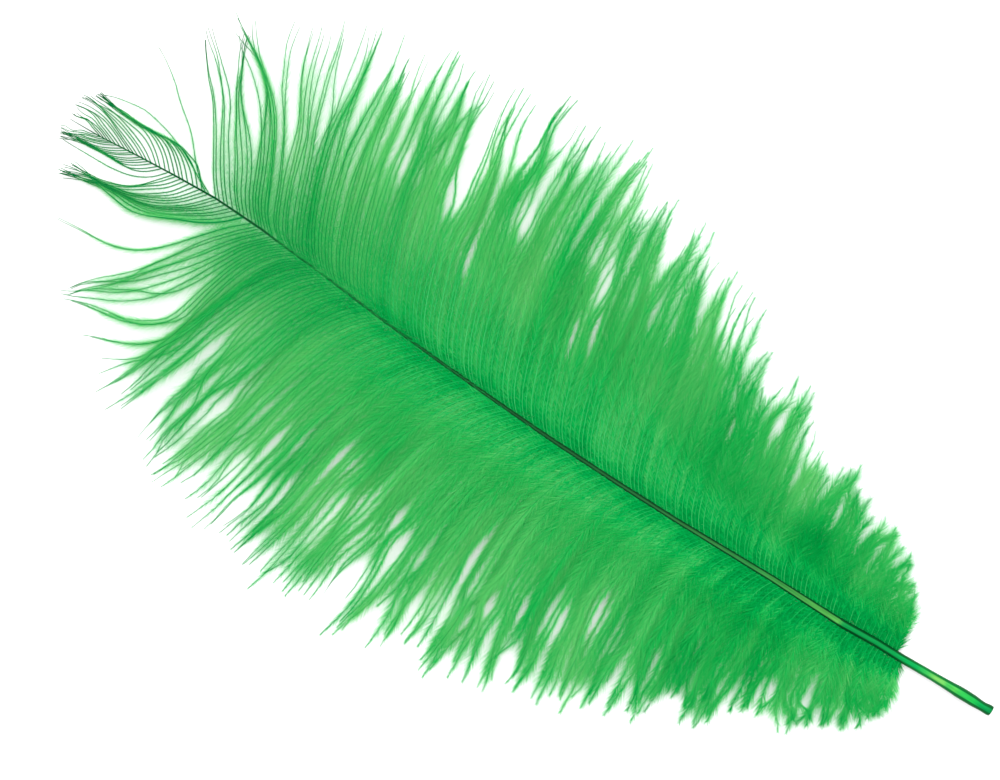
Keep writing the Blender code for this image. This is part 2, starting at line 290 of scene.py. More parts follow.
# White gaps between locks: along, out from the middle line, half length, half width.
PLUS_PARTINGS = (
    (105.5, 33, 10, 0.9),
    (113.5, 40, 7, 0.8),
    (118.5, 60, 7, 1.6),
    (124, 44, 5, 0.6),
    (130.5, 50, 6, 0.6),
    (142, 41, 12, 0.8),
    (148, 60, 7, 0.7),
    (161.5, 57, 14, 1.5),
    (165.5, 42, 6, 1.1),
    (168.8, 64, 9, 1.5),
    (171.5, 54, 8, 1),
    (176, 43, 7, 0.8),
    (180.8, 49, 7, 1.2),
    (183.5, 36.5, 6, 0.9),
    (187.2, 36, 7, 0.7),
    (196, 54, 9, 1.1),
    (203, 59, 9, 1.6),
    (204.5, 42, 8, 0.6),
    (211, 55, 8, 0.6),
    (222, 43, 5, 1),
)
MINUS_PARTINGS = (
    (78.5, 33, 7, 1.5),
    (98, 44, 8, 1.6),
    (112, 52, 8, 1.3),
    (142, 62, 7, 1),
    (147.5, 27, 9, 0.7),
    (151.5, 23.5, 8, 0.65),
    (152, 39, 6, 0.8),
    (160.5, 65, 8, 1.5),
    (179.5, 41.5, 4.5, 0.8),
    (182.5, 70, 7, 1.2),
    (188, 26.5, 8, 1.1),
    (190.5, 61, 10, 2),
    (199.5, 38, 7, 1.5),
    (200.9, 52.3, 17, 2.8),
    (216, 37, 5, 0.5),
)

# Spots where the down is worn thin and the bare barbs go on: along, out, half length, half width by the roots.
PLUS_WORN = ((206, 62, 7, 2.0), (170, 70, 6, 2.5))
MINUS_WORN = ((198.5, 58, 17, 4.5), (188, 64, 9, 2.0), (116, 50, 9, 4.5), (226, 60, 9, 3.0))

# The tables below go by the barb's root along the shaft. First the barbs: how far apart they stand, as a share
# of the plain spacing, how thick they are, how much they taper, how large their locks are, how strongly and from
# which share of their length they draw together, and how far each strays on its own.
BARB_CROWDING = ((27, 1.0), (190, 1.0), (228, 0.84), (242, 0.9), (250, 1.1), (270, 1.1), (292, 0.95))
BARB_THICKNESS = ((27, 0.09), (120, 0.10), (180, 0.12), (215, 0.13), (240, 0.155), (262, 0.19),
                  (292, 0.17))
BARB_TAPERS = ((27, 0.55), (120, 0.48), (190, 0.36), (292, 0.36))
LOCK_SIZES = ((27, 7.0), (150, 7.0), (200, 5.5), (292, 4.5))
PLUS_CLUMPING = ((27, 0.08), (70, 0.10), (100, 0.15), (135, 0.24), (200, 0.26), (225, 0.20), (232, 0.0))
MINUS_CLUMPING = ((27, 0.08), (100, 0.12), (150, 0.17), (185, 0.24), (215, 0.26), (225, 0.20), (232, 0.0))
CLUMP_STARTS = ((27, 0.60), (100, 0.52), (150, 0.42), (190, 0.32), (220, 0.28), (240, 0.12), (292, 0.10))
OWN_DRIFTS = ((27, 1.6), (170, 1.6), (200, 2.1), (218, 2.1), (230, 1.5), (256, 1.0), (262, 0.5), (292, 0.2))

# Then the barbules: how long and wide they are, from which share of the barb they shorten to its bare end, and
# how much of their length is gone there.
BARBULE_LENGTHS = ((27, 4.6), (50, 5.6), (110, 6.0), (170, 5.8), (205, 5.4), (225, 4.8), (240, 4.2), (250, 2.8),
                   (258, 2.0), (266, 1.3), (276, 0.8), (292, 0.5))
BARBULE_WIDTHS = ((27, 0.048), (100, 0.044), (150, 0.035), (175, 0.030), (195, 0.023), (225, 0.018),
                  (240, 0.016), (256, 0.015), (270, 0.016), (292, 0.015))
BARE_STARTS = ((27, 0.84), (100, 0.82), (150, 0.82), (200, 0.82), (225, 0.74), (240, 0.66), (292, 0.6))
BARE_ENDS = ((27, 0.55), (100, 0.72), (160, 0.83), (220, 0.88), (240, 0.93), (292, 0.97))

# Where along a barb its down starts to thin, and the share that is left at its end.
PLUS_THINNING = ((27, 0.72, 0.48), (60, 0.66, 0.42), (100, 0.60, 0.44), (150, 0.54, 0.47), (200, 0.48, 0.50),
                 (230, 0.35, 0.6), (244, 0.0, 0.5), (292, 0.20, 0.8))
MINUS_THINNING = ((27, 0.64, 0.38), (60, 0.56, 0.26), (100, 0.52, 0.22), (150, 0.50, 0.26), (180, 0.50, 0.46),
                  (205, 0.48, 0.60), (225, 0.0, 0.30), (252, 0.0, 0.42), (292, 0.20, 0.8))

# How far out from the shaft a barb's bare edge still shows over the down, and on each vane how strong the
# painted highlight is that lightens a barb's line where it shows, for the light that its raised ridge catches.
PLUS_LINE_ENDS = ((27, 7), (60, 11), (100, 12), (150, 15), (200, 20), (225, 50), (292, 60))
MINUS_LINE_ENDS = ((27, 6), (60, 9), (90, 14), (115, 26), (200, 40), (225, 60), (292, 60))
PLUS_PAINTED_HIGHLIGHT = 0.62
MINUS_PAINTED_HIGHLIGHT = 1.0

# Along the feather, where its looks change: a pair is the start and the end of the change.
FAN_END = (60.0, 140.0)
SHADE_END = (60.0, 130.0)
LONG_ROOTS_START = (60.0, 120.0)
LOOSE_START = (170.0, 200.0)
LINES_END = (178.0, 212.0)
LONG_ROOTS_END = (180.0, 215.0)
EVEN_START = (185.0, 225.0)
WIDE_END = (195.0, 232.0)
TIP_START = (214.0, 234.0)
DARK_START = (235.0, 262.0)
BARE_START = (244.0, 262.0)

BARB_POINTS = 26
CROWD_ROOTS = 1.4
PLUS_SWEEP = 1.5
MINUS_SWEEP = 2.6
SWEEP_START = (27.0, 60.0)
SWEEP_REACH = 3.5

# What is drawn for each lock, which its barbs share, and for each barb on its own: a pair is the lowest and the
# highest, and a single number is how far most stray from the middle. Drifts, waves and lifts are in
# millimetres, arches and reaches are shares of the barb's length.
ROOT_JITTER = 0.2
LOCK_STEPS = (0.45, 1.2)
LOCK_PULLS = (0.6, 1.35)
LOCK_DRIFT = 0.7
LOCK_REACHES = (0.95, 1.05)
LOCK_WAVES = (0.3, 1.3)
LOCK_WAVE_TURNS = (0.7, 1.3)
LOCK_ARCHES = (0.03, 0.09)
LOCK_LIFTS = (0.2, 2.6)
LOCK_TONE = 0.08
OWN_ARCH = 0.010
OWN_LIFTS = (0.0, 1.2)
OWN_REACH = 0.070
OWN_WAVES = (0.1, 0.8)
OWN_WAVE_TURNS = (0.8, 2.0)
# How strongly each barb's own painted highlight shows.
OWN_HIGHLIGHT_STRENGTHS = (0.45, 1.0)
OWN_TONE = 0.08

# What the draws are held to and changed by: a lock's most, as a share of its plain size, and its least, in
# millimetres; how much more unevenly barbs reach by the quill and wave where they are loose; how many stray, and
# how much further; and the powers of the barb's length that drifts and waves grow with.
LONGEST_LOCK = 1.3
SHORTEST_LOCK = 1.5
FAN_REACH = 0.3
LOOSE_WAVES = 0.6
STRAY_BARBS = 0.07
STRAY_DRIFT = 2.3
MIDDLE_TONE = 0.52
TONE_LIMITS = (0.05, 0.95)
REACH_LIMITS = (0.70, 1.08)
DRIFT_POWER = 1.5
WAVE_POWER = 2.0
OWN_WAVE_POWER = 1.3

# A lock ends in a point: its middle barbs reach furthest.
MIDDLE_REACH = 1.03
POINTEDNESS = 0.06
POINT_POWER = 1.5

# How much calmer the barbs are at the tip.
TIP_EVEN_REACH = 0.85
TIP_EVEN_WAVES = 0.7
TIP_EVEN_OWN_WAVES = 0.6
TIP_EVEN_LIFTS = 0.6

# Gaps: their strands lean away from them and are pushed aside, and there is less down beside them.
GAP_LEAN = 0.32
GAP_LEAN_SPREAD = 3.5
GAP_TAPER = 1.3
GAP_PUSH = 0.74
GAP_PUSH_SPREAD = 6.0
GAP_BARENESS = 0.50
GAP_BARE_SPREAD = 2.4
WORN_BARENESS = 0.75

# Streaks of parted down along the barbs, and wider patches of tone.
STREAK_WIDTH = 2.7
STREAKS_ALONG = 8
STREAK_SHIFT = 0.5
STREAK_SEED = 50
PATCH_SEED = 80
STREAK_START = (0.34, 0.62)
STREAK_PUSH = 0.8
PARTED_FROM = (-0.2, 1.3)
PARTED_SHORTER = 0.30
PARTED_NARROWER = 0.40
PATCH_SHARE = 0.4
PATCH_TONE = 0.15

# Heights: where on the shaft a barb springs, how high its end and its lowest point lie, and how it arches.
SPRING_HEIGHT = 0.86
END_HEIGHT = 0.35
LEAST_HEIGHT = 0.15
ROOT_ARCH = 0.06
OWN_ARCH_START = (0.08, 0.5)
ARCH_POWER = 0.85

# Barbules, by how far out from the shaft they stand: clear of its groove, in its half widths, shorter at the
# barb's root, wider near the shaft and closer to the barb further out. Lays are in degrees from the barb, dips
# in radians. The last is the share of the way out over which a barb's line shows in full before it fades.
CLEAR_OF_SHAFT = (0.35, 0.75)
ROOT_SHORTER = 0.15
LONG_ROOTS_SHORTER = 0.25
BARE_TIP_SHORTER = 0.45
ROOT_STRETCH = 0.10
BARE_TIP_STRETCH = 0.35
NEAR_WIDER = 0.45
NEAR_END = (3.0, 16.0)
LAY = 60.0
LAY_CLOSER = 24.0
LAY_CLOSER_START = (0.8, 4.5)
LAY_CLOSEST = 15.0
LAY_CLOSEST_START = (5.0, 24.0)
LAY_OPENER = 3.0
LAY_OPENER_START = (0.6, 1.0)
DIP = -0.14
LINES_DIP = 0.52
END_DIP = 0.20
END_DIP_START = (0.55, 0.9)
LINE_FADE_START = 0.4

# Tones from 0, dark, to 1, light: painted shade on the down near the shaft and just beside its edge, where the
# raised shaft would shade it, and how much of it is gone towards the tip; the paler middle and the darker ends
# and quill side, which is paler again where the down thins out. Last, how light a barb is drawn: a base, its
# painted highlight, a share of its tone and a darkening near the tip.
NEAR_SHAFT_PAINTED_SHADE = 0.13
NEAR_SHAFT_PAINTED_SHADE_END = (1.0, 10.0)
SHAFT_EDGE_PAINTED_SHADE = 0.24
SHAFT_EDGE_PAINTED_SHADE_END = (0.5, 4.5)
EVEN_PAINTED_SHADE = 0.75
PALE_MIDDLE = 0.18
PALE_START = (0.15, 0.45)
PATCH_START = (0.15, 0.4)
DARK_END = 0.30
DARK_END_START = (0.78, 1.0)
QUILL_SHADE = 0.22
THIN_PALER = 0.7
THIN_ENOUGH = 0.7
TONE_RANGE = (0.02, 0.98)
LIT_BASE = 0.25
PAINTED_HIGHLIGHT_ON_LINES = 0.58
LIT_BY_TONE = 0.20
LIT_DARKER = 0.11

# What is drawn for each barbule: its slide along the barb in millimetres, its tone, its turn, pitch and roll in
# radians, its length as a share, and the square root of its width as a share.
BARBULE_SLIDE = 0.12
BARBULE_TONE = 0.26
BARBULE_TURN = 0.22
BARBULE_PITCH = 0.2
BARBULE_ROLL = 0.5
BARBULE_STRETCH = (0.55, 1.15)
BARBULE_BREADTH = (0.42, 1.48)

# A barbule's tip leans aside by this many of its half widths. None is grown shorter than the least length, and
# none comes nearer to the table than its clearance; a metre off is out of the feather's reach.
BARBULE_TIP_LEAN = 1.5
LEAST_BARBULE = 0.12
BARBULE_CLEARANCE = 0.05
METRE_OFF = -1.0
PIECES_PER_VANE = 3
PIECE_SEED_STEP = 100

# The map's second axis holds the tone, for the barbs with their painted highlight in it, and each strand's own
# width takes up a sliver of it.
TONE_SPAN = 0.97
BARB_SLIVER = 0.003
BARBULE_SLIVER = 0.001

# Colours are linear. A ramp's rows: the place on it and the colour there.
DYE = (0.036, 0.515, 0.12)
# The barbs' ramp is read by their tone with its painted highlight: its lighter colours draw the highlight on
# their lines.
BARB_TONES = ((0.0, (0.0, 0.06, 0.014)), (0.12, (0.0, 0.17, 0.035)), (0.4, (0.0, 0.33, 0.07)),
              (1.0, (0.09, 0.60, 0.20)))
BARB_LENGTHWISE = ((0.0, (1.0, 1.0, 1.0)), (0.5, (0.9, 0.9, 0.9)), (0.8, (0.8, 0.8, 0.8)),
                   (1.0, (0.6, 0.6, 0.65)))
BARBULE_TONES = ((0.0, (0.0, 0.31, 0.057)), (0.15, (0.0, 0.42, 0.078)), (0.3, (0.0, 0.47, 0.088)),
                 (0.5, DYE), (1.0, (0.16, 0.60, 0.19)))
# The barbules' lengthwise ramp darkens them where they leave their barb: painted shade for the shadow that the
# barb would cast on them.
BARBULE_PAINTED_SHADE_ALONG = ((0.0, (0.86, 0.88, 0.86)), (0.18, (0.95, 0.96, 0.95)), (0.5, (1.0, 1.0, 1.0)),
                      (1.0, (1.0, 1.0, 1.0)))

# The horn's colours by the share of the shaft's length: its top strip, its edges, the narrowing of the strip
# between them and the painted shade of the groove, a dark line along its middle; then its fine streaks, and the
# rim and the groove's painted shade by the share of the way round that they stand off the top. The last is the
# streaks' depth in millimetres.
HORN_STRIP = (
    (0.000, (0.0, 0.15, 0.035)), (0.012, (0.0, 0.20, 0.04)), (0.020, (0.01, 0.32, 0.05)),
    (0.034, (0.02, 0.31, 0.05)), (0.040, (0.06, 0.33, 0.05)), (0.046, (0.01, 0.29, 0.05)),
    (0.049, (0.10, 0.36, 0.07)), (0.058, (0.12, 0.36, 0.07)), (0.066, (0.03, 0.30, 0.055)),
    (0.078, (0.0, 0.24, 0.05)), (0.110, (0.0, 0.17, 0.035)), (0.156, (0.0, 0.17, 0.035)),
    (0.1585, (0.055, 0.25, 0.045)), (0.200, (0.040, 0.20, 0.037)), (0.260, (0.018, 0.14, 0.030)),
    (0.300, (0.02, 0.11, 0.025)), (0.360, (0.012, 0.075, 0.02)), (0.500, (0.006, 0.042, 0.012)),
    (0.640, (0.003, 0.045, 0.012)), (0.800, (0.0, 0.050, 0.012)), (1.000, (0.0, 0.05, 0.015)))
HORN_EDGE = (
    (0.000, (0.0, 0.06, 0.012)), (0.070, (0.0, 0.12, 0.02)), (0.100, (0.0, 0.05, 0.01)),
    (0.160, (0.0, 0.04, 0.008)), (0.300, (0.0, 0.025, 0.006)), (0.600, (0.0, 0.020, 0.004)),
    (0.850, (0.0, 0.030, 0.008)), (1.000, (0.0, 0.04, 0.012)))
HORN_NARROWING = ((0.20, (0.0, 0.0, 0.0)), (0.36, (0.036, 0.036, 0.036)))
HORN_GROOVE_PAINTED_SHADE = ((0.18, (0.0, 0.0, 0.0)), (0.21, (0.5, 0.5, 0.5)), (0.26, (0.3, 0.3, 0.3)), (0.34, (0.0, 0.0, 0.0)))
HORN_SHADES = ((0.30, (0.74, 0.78, 0.74)), (0.70, (1.12, 1.10, 1.12)))
HORN_GROOVE_SHADE_COLOUR = (0.0, 0.10, 0.02, 1.0)
HORN_STREAKS = (60.0, 26.0, 1.0)
HORN_RIM = (0.056, 0.092)
HORN_GROOVE_SHADE_EDGE = 0.03
HORN_BUMP = 0.25
HORN_BUMP_DEPTH = 0.12

TABLE_TONES = ((0.3, (0.59, 0.59, 0.59)), (0.7, (0.61, 0.61, 0.61)))
TABLE_GLOW = 0.22

# The stage: sizes and places in metres, the table's gap and the camera's point in millimetres, turns in degrees.
TABLE_SIZE = 6.0
TABLE_GAP = 0.04
SOFTBOX_SIZE = 1.1
SOFTBOX_PLACE = (0.25, -0.35, 1.1)
SOFTBOX_TURN = (17.7, 12.8)
STUDIO_LIGHT = 1.4
WHITE = (1.0, 1.0, 1.0, 1.0)
CAMERA_POINT = (10.2, -2.1, 3.0)
CAMERA_LENS = 85.0
CAMERA_CLIP = (0.01, 20.0)
PICTURE_RIGHT = (-0.840947, -0.541118, 0.0)
PICTURE_UP = (0.541118, -0.840947, 0.0)
PIXELS_PER_MM = 3.6443
PICTURE_WIDTH = 1000
SENSOR = 36.0


def smooth(low, high, value):
    """An even rise from 0 at the lower value to 1 at the higher."""
    share = np.clip((value - low) / (high - low), 0.0, 1.0)
    return share * share * (3.0 - 2.0 * share)


def table_at(rows, value, column=1):
    """Reads a named table of rows at any value of its first column."""
    table = np.array(rows, float)
    return np.interp(value, table[:, 0], table[:, column])


def in_frame(along, across, height):
    """Millimetres from the quill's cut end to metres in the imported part's frame."""
    return np.stack(((along - CENTRE_ALONG) * MM, (across - CENTRE_ACROSS) * MM, height * MM), axis=-1)


def even_line(points):
    """Points at even steps along a smooth curve through the given ones."""
    points = np.array(points, float)
    before = np.vstack((2 * points[0] - points[1], points[:-1]))
    after = np.vstack((points[1:], 2 * points[-1] - points[-2]))
    slopes = 0.5 * (after - before)
    step = np.linspace(0.0, 1.0, SPAN_POINTS)[:-1, None]
    curve = []
    for start, end, leave, arrive in zip(points, points[1:], slopes, slopes[1:]):
        curve.append((2 * step ** 3 - 3 * step ** 2 + 1) * start + (step ** 3 - 2 * step ** 2 + step) * leave
                     + (3 * step ** 2 - 2 * step ** 3) * end + (step ** 3 - step ** 2) * arrive)
    curve = np.vstack(curve + [points[-1:]])
    run = np.concatenate(((0.0,), np.cumsum(np.hypot(*np.diff(curve, axis=0).T))))
    places = np.linspace(0.0, run[-1], LINE_POINTS)
    return np.stack((np.interp(places, run, curve[:, 0]), np.interp(places, run, curve[:, 1])))


class Vane:
    """The smooth field that one row of barbs follows, over (root on the shaft, share of the barb's length)."""

    def __init__(self, name, side, rows, guides, partings, worn, first, clumping, thinning, sweep, lines_shown):
        self.name = name
        self.side = side
        self.rows = rows
        self.first = first
        self.clumping = clumping
        self.thinning = thinning
        self.sweep = sweep
        self.line_ends, self.painted_highlight_strength = lines_shown
        roots, lines, breaks = [], [], []
        for root in np.append(np.arange(first - 1.0, rows[-1][0], ROW_STEP), rows[-1][0]):
            roots.append(float(root))
            lines.append(self.bent_line(float(root)))
        for number, group in enumerate(guides):
            drawn = [self.guide_line(row) for row in group]
            if number:
                breaks.append(0.5 * (guides[number - 1][-1][0] + group[0][0]))
                roots += [breaks[-1]] * 2
                lines += [lines[-1], drawn[0]]
            roots += [float(row[0]) for row in group]
            lines += drawn
        self.roots = np.array(roots)
        self.lines = np.array(lines)
        self.breaks = np.array([first - 1.0] + breaks + [LAST_ROOT + 1.0])
        self.lengths = np.hypot(*np.diff(self.lines, axis=2).transpose(1, 0, 2)).sum(axis=1)
        self.partings = [self.parting(*row) for row in partings]
        self.worn = [self.parting(*row) for row in worn]

    def guide_line(self, row):
        """A barb of the tip through the points that its row gives."""
        start = (row[0], float(table_at(SHAFT, row[0])))
        return even_line([start] + [(along, self.side * out) for along, out in row[1:]])

    def bent_line(self, root):
        """A barb that leaves and arrives as the vane's rows say, and springs from the shaft in a short sweep."""
        leave, end_along, end_out, arrive = (float(table_at(self.rows, root, column)) for column in range(1, 5))
        start = np.array((root, float(table_at(SHAFT, root))))
        end = np.array((end_along, self.side * end_out))
        length = float(np.hypot(*(end - start)))
        share = np.linspace(0.0, 1.0, CURVE_POINTS)[:, None]
        leaving, arriving = (np.array((math.cos(math.radians(turn)), self.side * math.sin(math.radians(turn))))
                             for turn in (leave, arrive))
        controls = (start, start + ROOT_PULL * length * leaving, end - END_PULL * length * arriving, end)
        weights = ((1 - share) ** 3, 3 * (1 - share) ** 2 * share, 3 * (1 - share) * share ** 2, share ** 3)
        curve = sum(weight * control for weight, control in zip(weights, controls))
        sweep = self.sweep * smooth(*SWEEP_START, root)
        curve[:, 0] += (sweep * (1.0 - np.exp(-length * share / SWEEP_REACH) - share))[:, 0]
        return even_line(curve)

    def line(self, root, share):
        """(along, across) in millimetres for arrays of roots and shares."""
        index = np.clip(np.searchsorted(self.roots, root, side="right") - 1, 0, len(self.roots) - 2)
        gap = self.roots[index + 1] - self.roots[index]
        between = (root - self.roots[index]) / np.where(gap > 0, gap, 1.0)
        between = np.clip(between, 0.0, 1.0)
        place = share * (LINE_POINTS - 1)
        step = np.clip(place.astype(int), 0, LINE_POINTS - 2)
        rest = place - step
        found = []
        for axis in (0, 1):
            lines = self.lines[:, axis]
            near = lines[index, step] * (1 - rest) + lines[index, step + 1] * rest
            far = lines[index + 1, step] * (1 - rest) + lines[index + 1, step + 1] * rest
            found.append(near * (1 - between) + far * between)
        return found

    def length(self, root):
        """How long the barb at a root is, in millimetres."""
        return np.interp(root, self.roots, self.lengths)

    def group_ends(self, root):
        """Where on the shaft the group of barbs around a root starts and ends."""
        group = np.clip(np.searchsorted(self.breaks, root) - 1, 0, len(self.breaks) - 2)
        return self.breaks[group] + GROUP_EDGE, self.breaks[group + 1] - GROUP_EDGE

    def parting(self, along, out, half_length, half_width):
        """A spot's place in the field: root, share, half its length as a share, half its width."""
        roots, shares = np.meshgrid(np.linspace(self.first, LAST_ROOT, SEARCH_ROOTS),
                                    np.linspace(FIRST_SHARE, 1.0, SEARCH_SHARES))
        found_along, found_across = self.line(roots, shares)
        index = np.argmin(np.hypot(found_along - along, found_across - self.side * out))
        root, share = roots.flat[index], shares.flat[index]
        return float(root), float(share), half_length / float(self.length(root)), half_width


def lock_edges(vane, draw):
    """Where one lock ends and the next begins along the shaft: at every gap, and at uneven steps between."""
    edges = sorted(parting[0] for parting in vane.partings)
    kept = [vane.first]
    for edge in edges + [LAST_ROOT]:
        size = float(table_at(LOCK_SIZES, kept[-1]))
        while edge - kept[-1] > LONGEST_LOCK * size:
            kept.append(kept[-1] + size * draw.uniform(*LOCK_STEPS))
            size = float(table_at(LOCK_SIZES, kept[-1]))
        if edge - kept[-1] > SHORTEST_LOCK:
            kept.append(edge)
    return np.array(kept)


def streaks(roots, share, seed):
    """A smooth random field over the vane, in streaks along the barbs, and how it slopes from barb to barb."""
    rows = int((LAST_ROOT + 10.0) / STREAK_WIDTH)
    field = np.random.default_rng(seed).normal(0.0, 1.0, (rows + 2, STREAKS_ALONG + 3))
    values = []
    for shift in (-STREAK_SHIFT, 0.0, STREAK_SHIFT):
        down, over = (roots + shift) / STREAK_WIDTH, share * STREAKS_ALONG
        row, column = down.astype(int), over.astype(int)
        down, over = smooth(0.0, 1.0, down - row), smooth(0.0, 1.0, over - column)
        near = field[row, column] * (1.0 - over) + field[row, column + 1] * over
        far = field[row + 1, column] * (1.0 - over) + field[row + 1, column + 1] * over
        values.append(near * (1.0 - down) + far * down)
    return values[1], values[2] - values[0]


def barb_roots(vane, spacing, draw):
    """Where the vane's barbs leave the shaft, each a little off its even place."""
    places = [vane.first + 0.5 * spacing]
    while places[-1] < LAST_ROOT:
        places.append(places[-1] + spacing * float(table_at(BARB_CROWDING, places[-1])))
    return np.array(places[:-1]) + spacing * draw.uniform(-ROOT_JITTER, ROOT_JITTER, len(places) - 1)


def barb_habits(vane, roots, draw):
    """What is drawn once for a barb: some of it with its whole lock, the rest on its own."""
    count = len(roots)
    edges = lock_edges(vane, draw)
    lock = np.clip(np.searchsorted(edges, roots) - 1, 0, len(edges) - 2)
    locks = len(edges) - 1
    middles = 0.5 * (edges[:-1] + edges[1:])
    near_tip = smooth(*TIP_START, roots)
    barb = SimpleNamespace(root=roots, middle=middles[lock], near_tip=near_tip)
    barb.pull = draw.uniform(*LOCK_PULLS, locks)[lock] * table_at(vane.clumping, roots)
    lock_drift = draw.normal(0.0, LOCK_DRIFT, locks)[lock] * (1.0 - near_tip)
    lock_reach = draw.uniform(*LOCK_REACHES, locks)[lock]
    barb.wave = draw.uniform(*LOCK_WAVES, locks)[lock] * (1.0 - TIP_EVEN_WAVES * near_tip)
    barb.wave_turns = draw.uniform(*LOCK_WAVE_TURNS, locks)[lock]
    barb.wave_start = draw.uniform(0.0, 1.0, locks)[lock]
    barb.arch = np.interp(roots, middles, draw.uniform(*LOCK_ARCHES, locks)) + draw.normal(0.0, OWN_ARCH, count)
    barb.lift = np.interp(roots, middles, draw.uniform(*LOCK_LIFTS, locks)) + draw.uniform(*OWN_LIFTS, count)

    near_quill = 1.0 - smooth(*FAN_END, roots)
    reach = lock_reach * (1.0 - np.abs(draw.normal(0.0, OWN_REACH, count) * (1.0 + FAN_REACH * near_quill)))
    off_middle = np.abs(roots - barb.middle) / (0.5 * np.diff(edges)[lock])
    reach *= MIDDLE_REACH - POINTEDNESS * off_middle ** POINT_POWER
    barb.reach = 1.0 + (np.clip(reach, *REACH_LIMITS) - 1.0) * (1.0 - TIP_EVEN_REACH * near_tip)

    own_drift = draw.normal(0.0, 1.0, count) * table_at(OWN_DRIFTS, roots)
    own_drift *= np.where(draw.random(count) < STRAY_BARBS, STRAY_DRIFT, 1.0)
    for gap_root, _, _, gap_width in vane.partings:
        leans = min(1.0, GAP_LEAN * gap_width) * np.exp(-((roots - gap_root) / GAP_LEAN_SPREAD) ** 2)
        own_drift += leans * (np.sign(roots - gap_root) * np.abs(own_drift) - own_drift)
    barb.drift = lock_drift + own_drift
    looseness = 1.0 + LOOSE_WAVES * smooth(*LOOSE_START, roots) - TIP_EVEN_OWN_WAVES * near_tip
    barb.own_wave = draw.uniform(*OWN_WAVES, count) * looseness
    barb.own_turns = draw.uniform(*OWN_WAVE_TURNS, count)
    barb.own_start = draw.uniform(0.0, 1.0, count)
    # How strongly this barb's painted highlight shows.
    barb.light = draw.uniform(*OWN_HIGHLIGHT_STRENGTHS, count)
    lock_tone = np.interp(roots, middles, draw.normal(MIDDLE_TONE, LOCK_TONE, locks))
    barb.tone = np.clip(lock_tone + draw.normal(0.0, OWN_TONE, count), *TONE_LIMITS)
    return barb


def gathered_lines(vane, barb, root, share):
    """(along, across) of every barb as it draws together with its lock and strays, kept within its group."""
    onset = table_at(CLUMP_STARTS, root)
    gather = smooth(0.0, 1.0, (share - onset) / (1.0 - onset))
    followed = (root + (barb.middle[:, None] - root) * barb.pull[:, None] * gather
                + barb.drift[:, None] * gather ** DRIFT_POWER)
    lowest, highest = (ends[:, None] for ends in vane.group_ends(barb.root))
    followed = lowest + np.abs(followed - lowest)
    followed = np.maximum(highest - np.abs(highest - followed), lowest)
    return vane.line(followed, share)


def wave(size, turns, start, share, power):
    """A wave that grows towards the barb's end."""
    return size[:, None] * share ** power * np.sin(2 * math.pi * (turns[:, None] * share + start[:, None]))


def open_gaps(vane, root, share, aside, down):
    """Pushes strands aside around every gap, and takes down away there and where the vane is worn."""
    for gap_root, gap_share, gap_length, gap_width in vane.partings:
        apart = root - gap_root
        along_gap = np.clip(1.0 - ((share - gap_share) / (GAP_TAPER * gap_length)) ** 2, 0.0, 1.0) ** 2
        aside += np.sign(apart) * GAP_PUSH * gap_width * along_gap * np.exp(-np.abs(apart) / GAP_PUSH_SPREAD)
        down *= 1.0 - GAP_BARENESS * along_gap ** 0.5 * np.exp(-(apart / GAP_BARE_SPREAD) ** 2)
    for spot_root, spot_share, spot_length, spot_width in vane.worn:
        over_spot = np.exp(-((share - spot_share) / spot_length) ** 2 - ((root - spot_root) / spot_width) ** 2)
        down *= 1.0 - WORN_BARENESS * over_spot


def barb_heights(vane, barb, root, share):
    """Each barb springs from the shaft's flank, arches and comes down near the table."""
    half_width, underside = (table_at(SHAFT, root, column) for column in (2, 3))
    start = underside + SPRING_HEIGHT * half_width
    end = END_HEIGHT + underside + barb.lift[:, None] * (1.0 - TIP_EVEN_LIFTS * barb.near_tip[:, None])
    arch = ROOT_ARCH + (barb.arch[:, None] - ROOT_ARCH) * smooth(*OWN_ARCH_START, share)
    bow = np.sin(math.pi * np.clip(share, 0.0, 1.0) ** ARCH_POWER)
    height = start + (end - start) * share + arch * vane.length(barb.root)[:, None] * bow
    return np.maximum(height, LEAST_HEIGHT)


def barbule_lengths(root, share, run, out, down):
    """How long the barbules are along a barb: none on the shaft, short at the root, ending before the tip."""
    bare_end = table_at(BARE_ENDS, root)
    bare_start = table_at(BARE_STARTS, root)
    full = (1.0 - bare_end * smooth(0.0, 1.0, (run - bare_start) / (1.0 - bare_start)))
    clear = smooth(*CLEAR_OF_SHAFT, out / table_at(SHAFT, root, 2))
    bare_tip = smooth(*BARE_START, root)
    long_roots = smooth(*LONG_ROOTS_START, root) * (1.0 - smooth(*LONG_ROOTS_END, root))
    short = ROOT_SHORTER + LONG_ROOTS_SHORTER * long_roots + BARE_TIP_SHORTER * bare_tip
    fluff = table_at(BARBULE_LENGTHS, root) * full * down * clear
    return fluff * (1.0 - short * (1.0 - smooth(0.0, ROOT_STRETCH + BARE_TIP_STRETCH * bare_tip, share)))


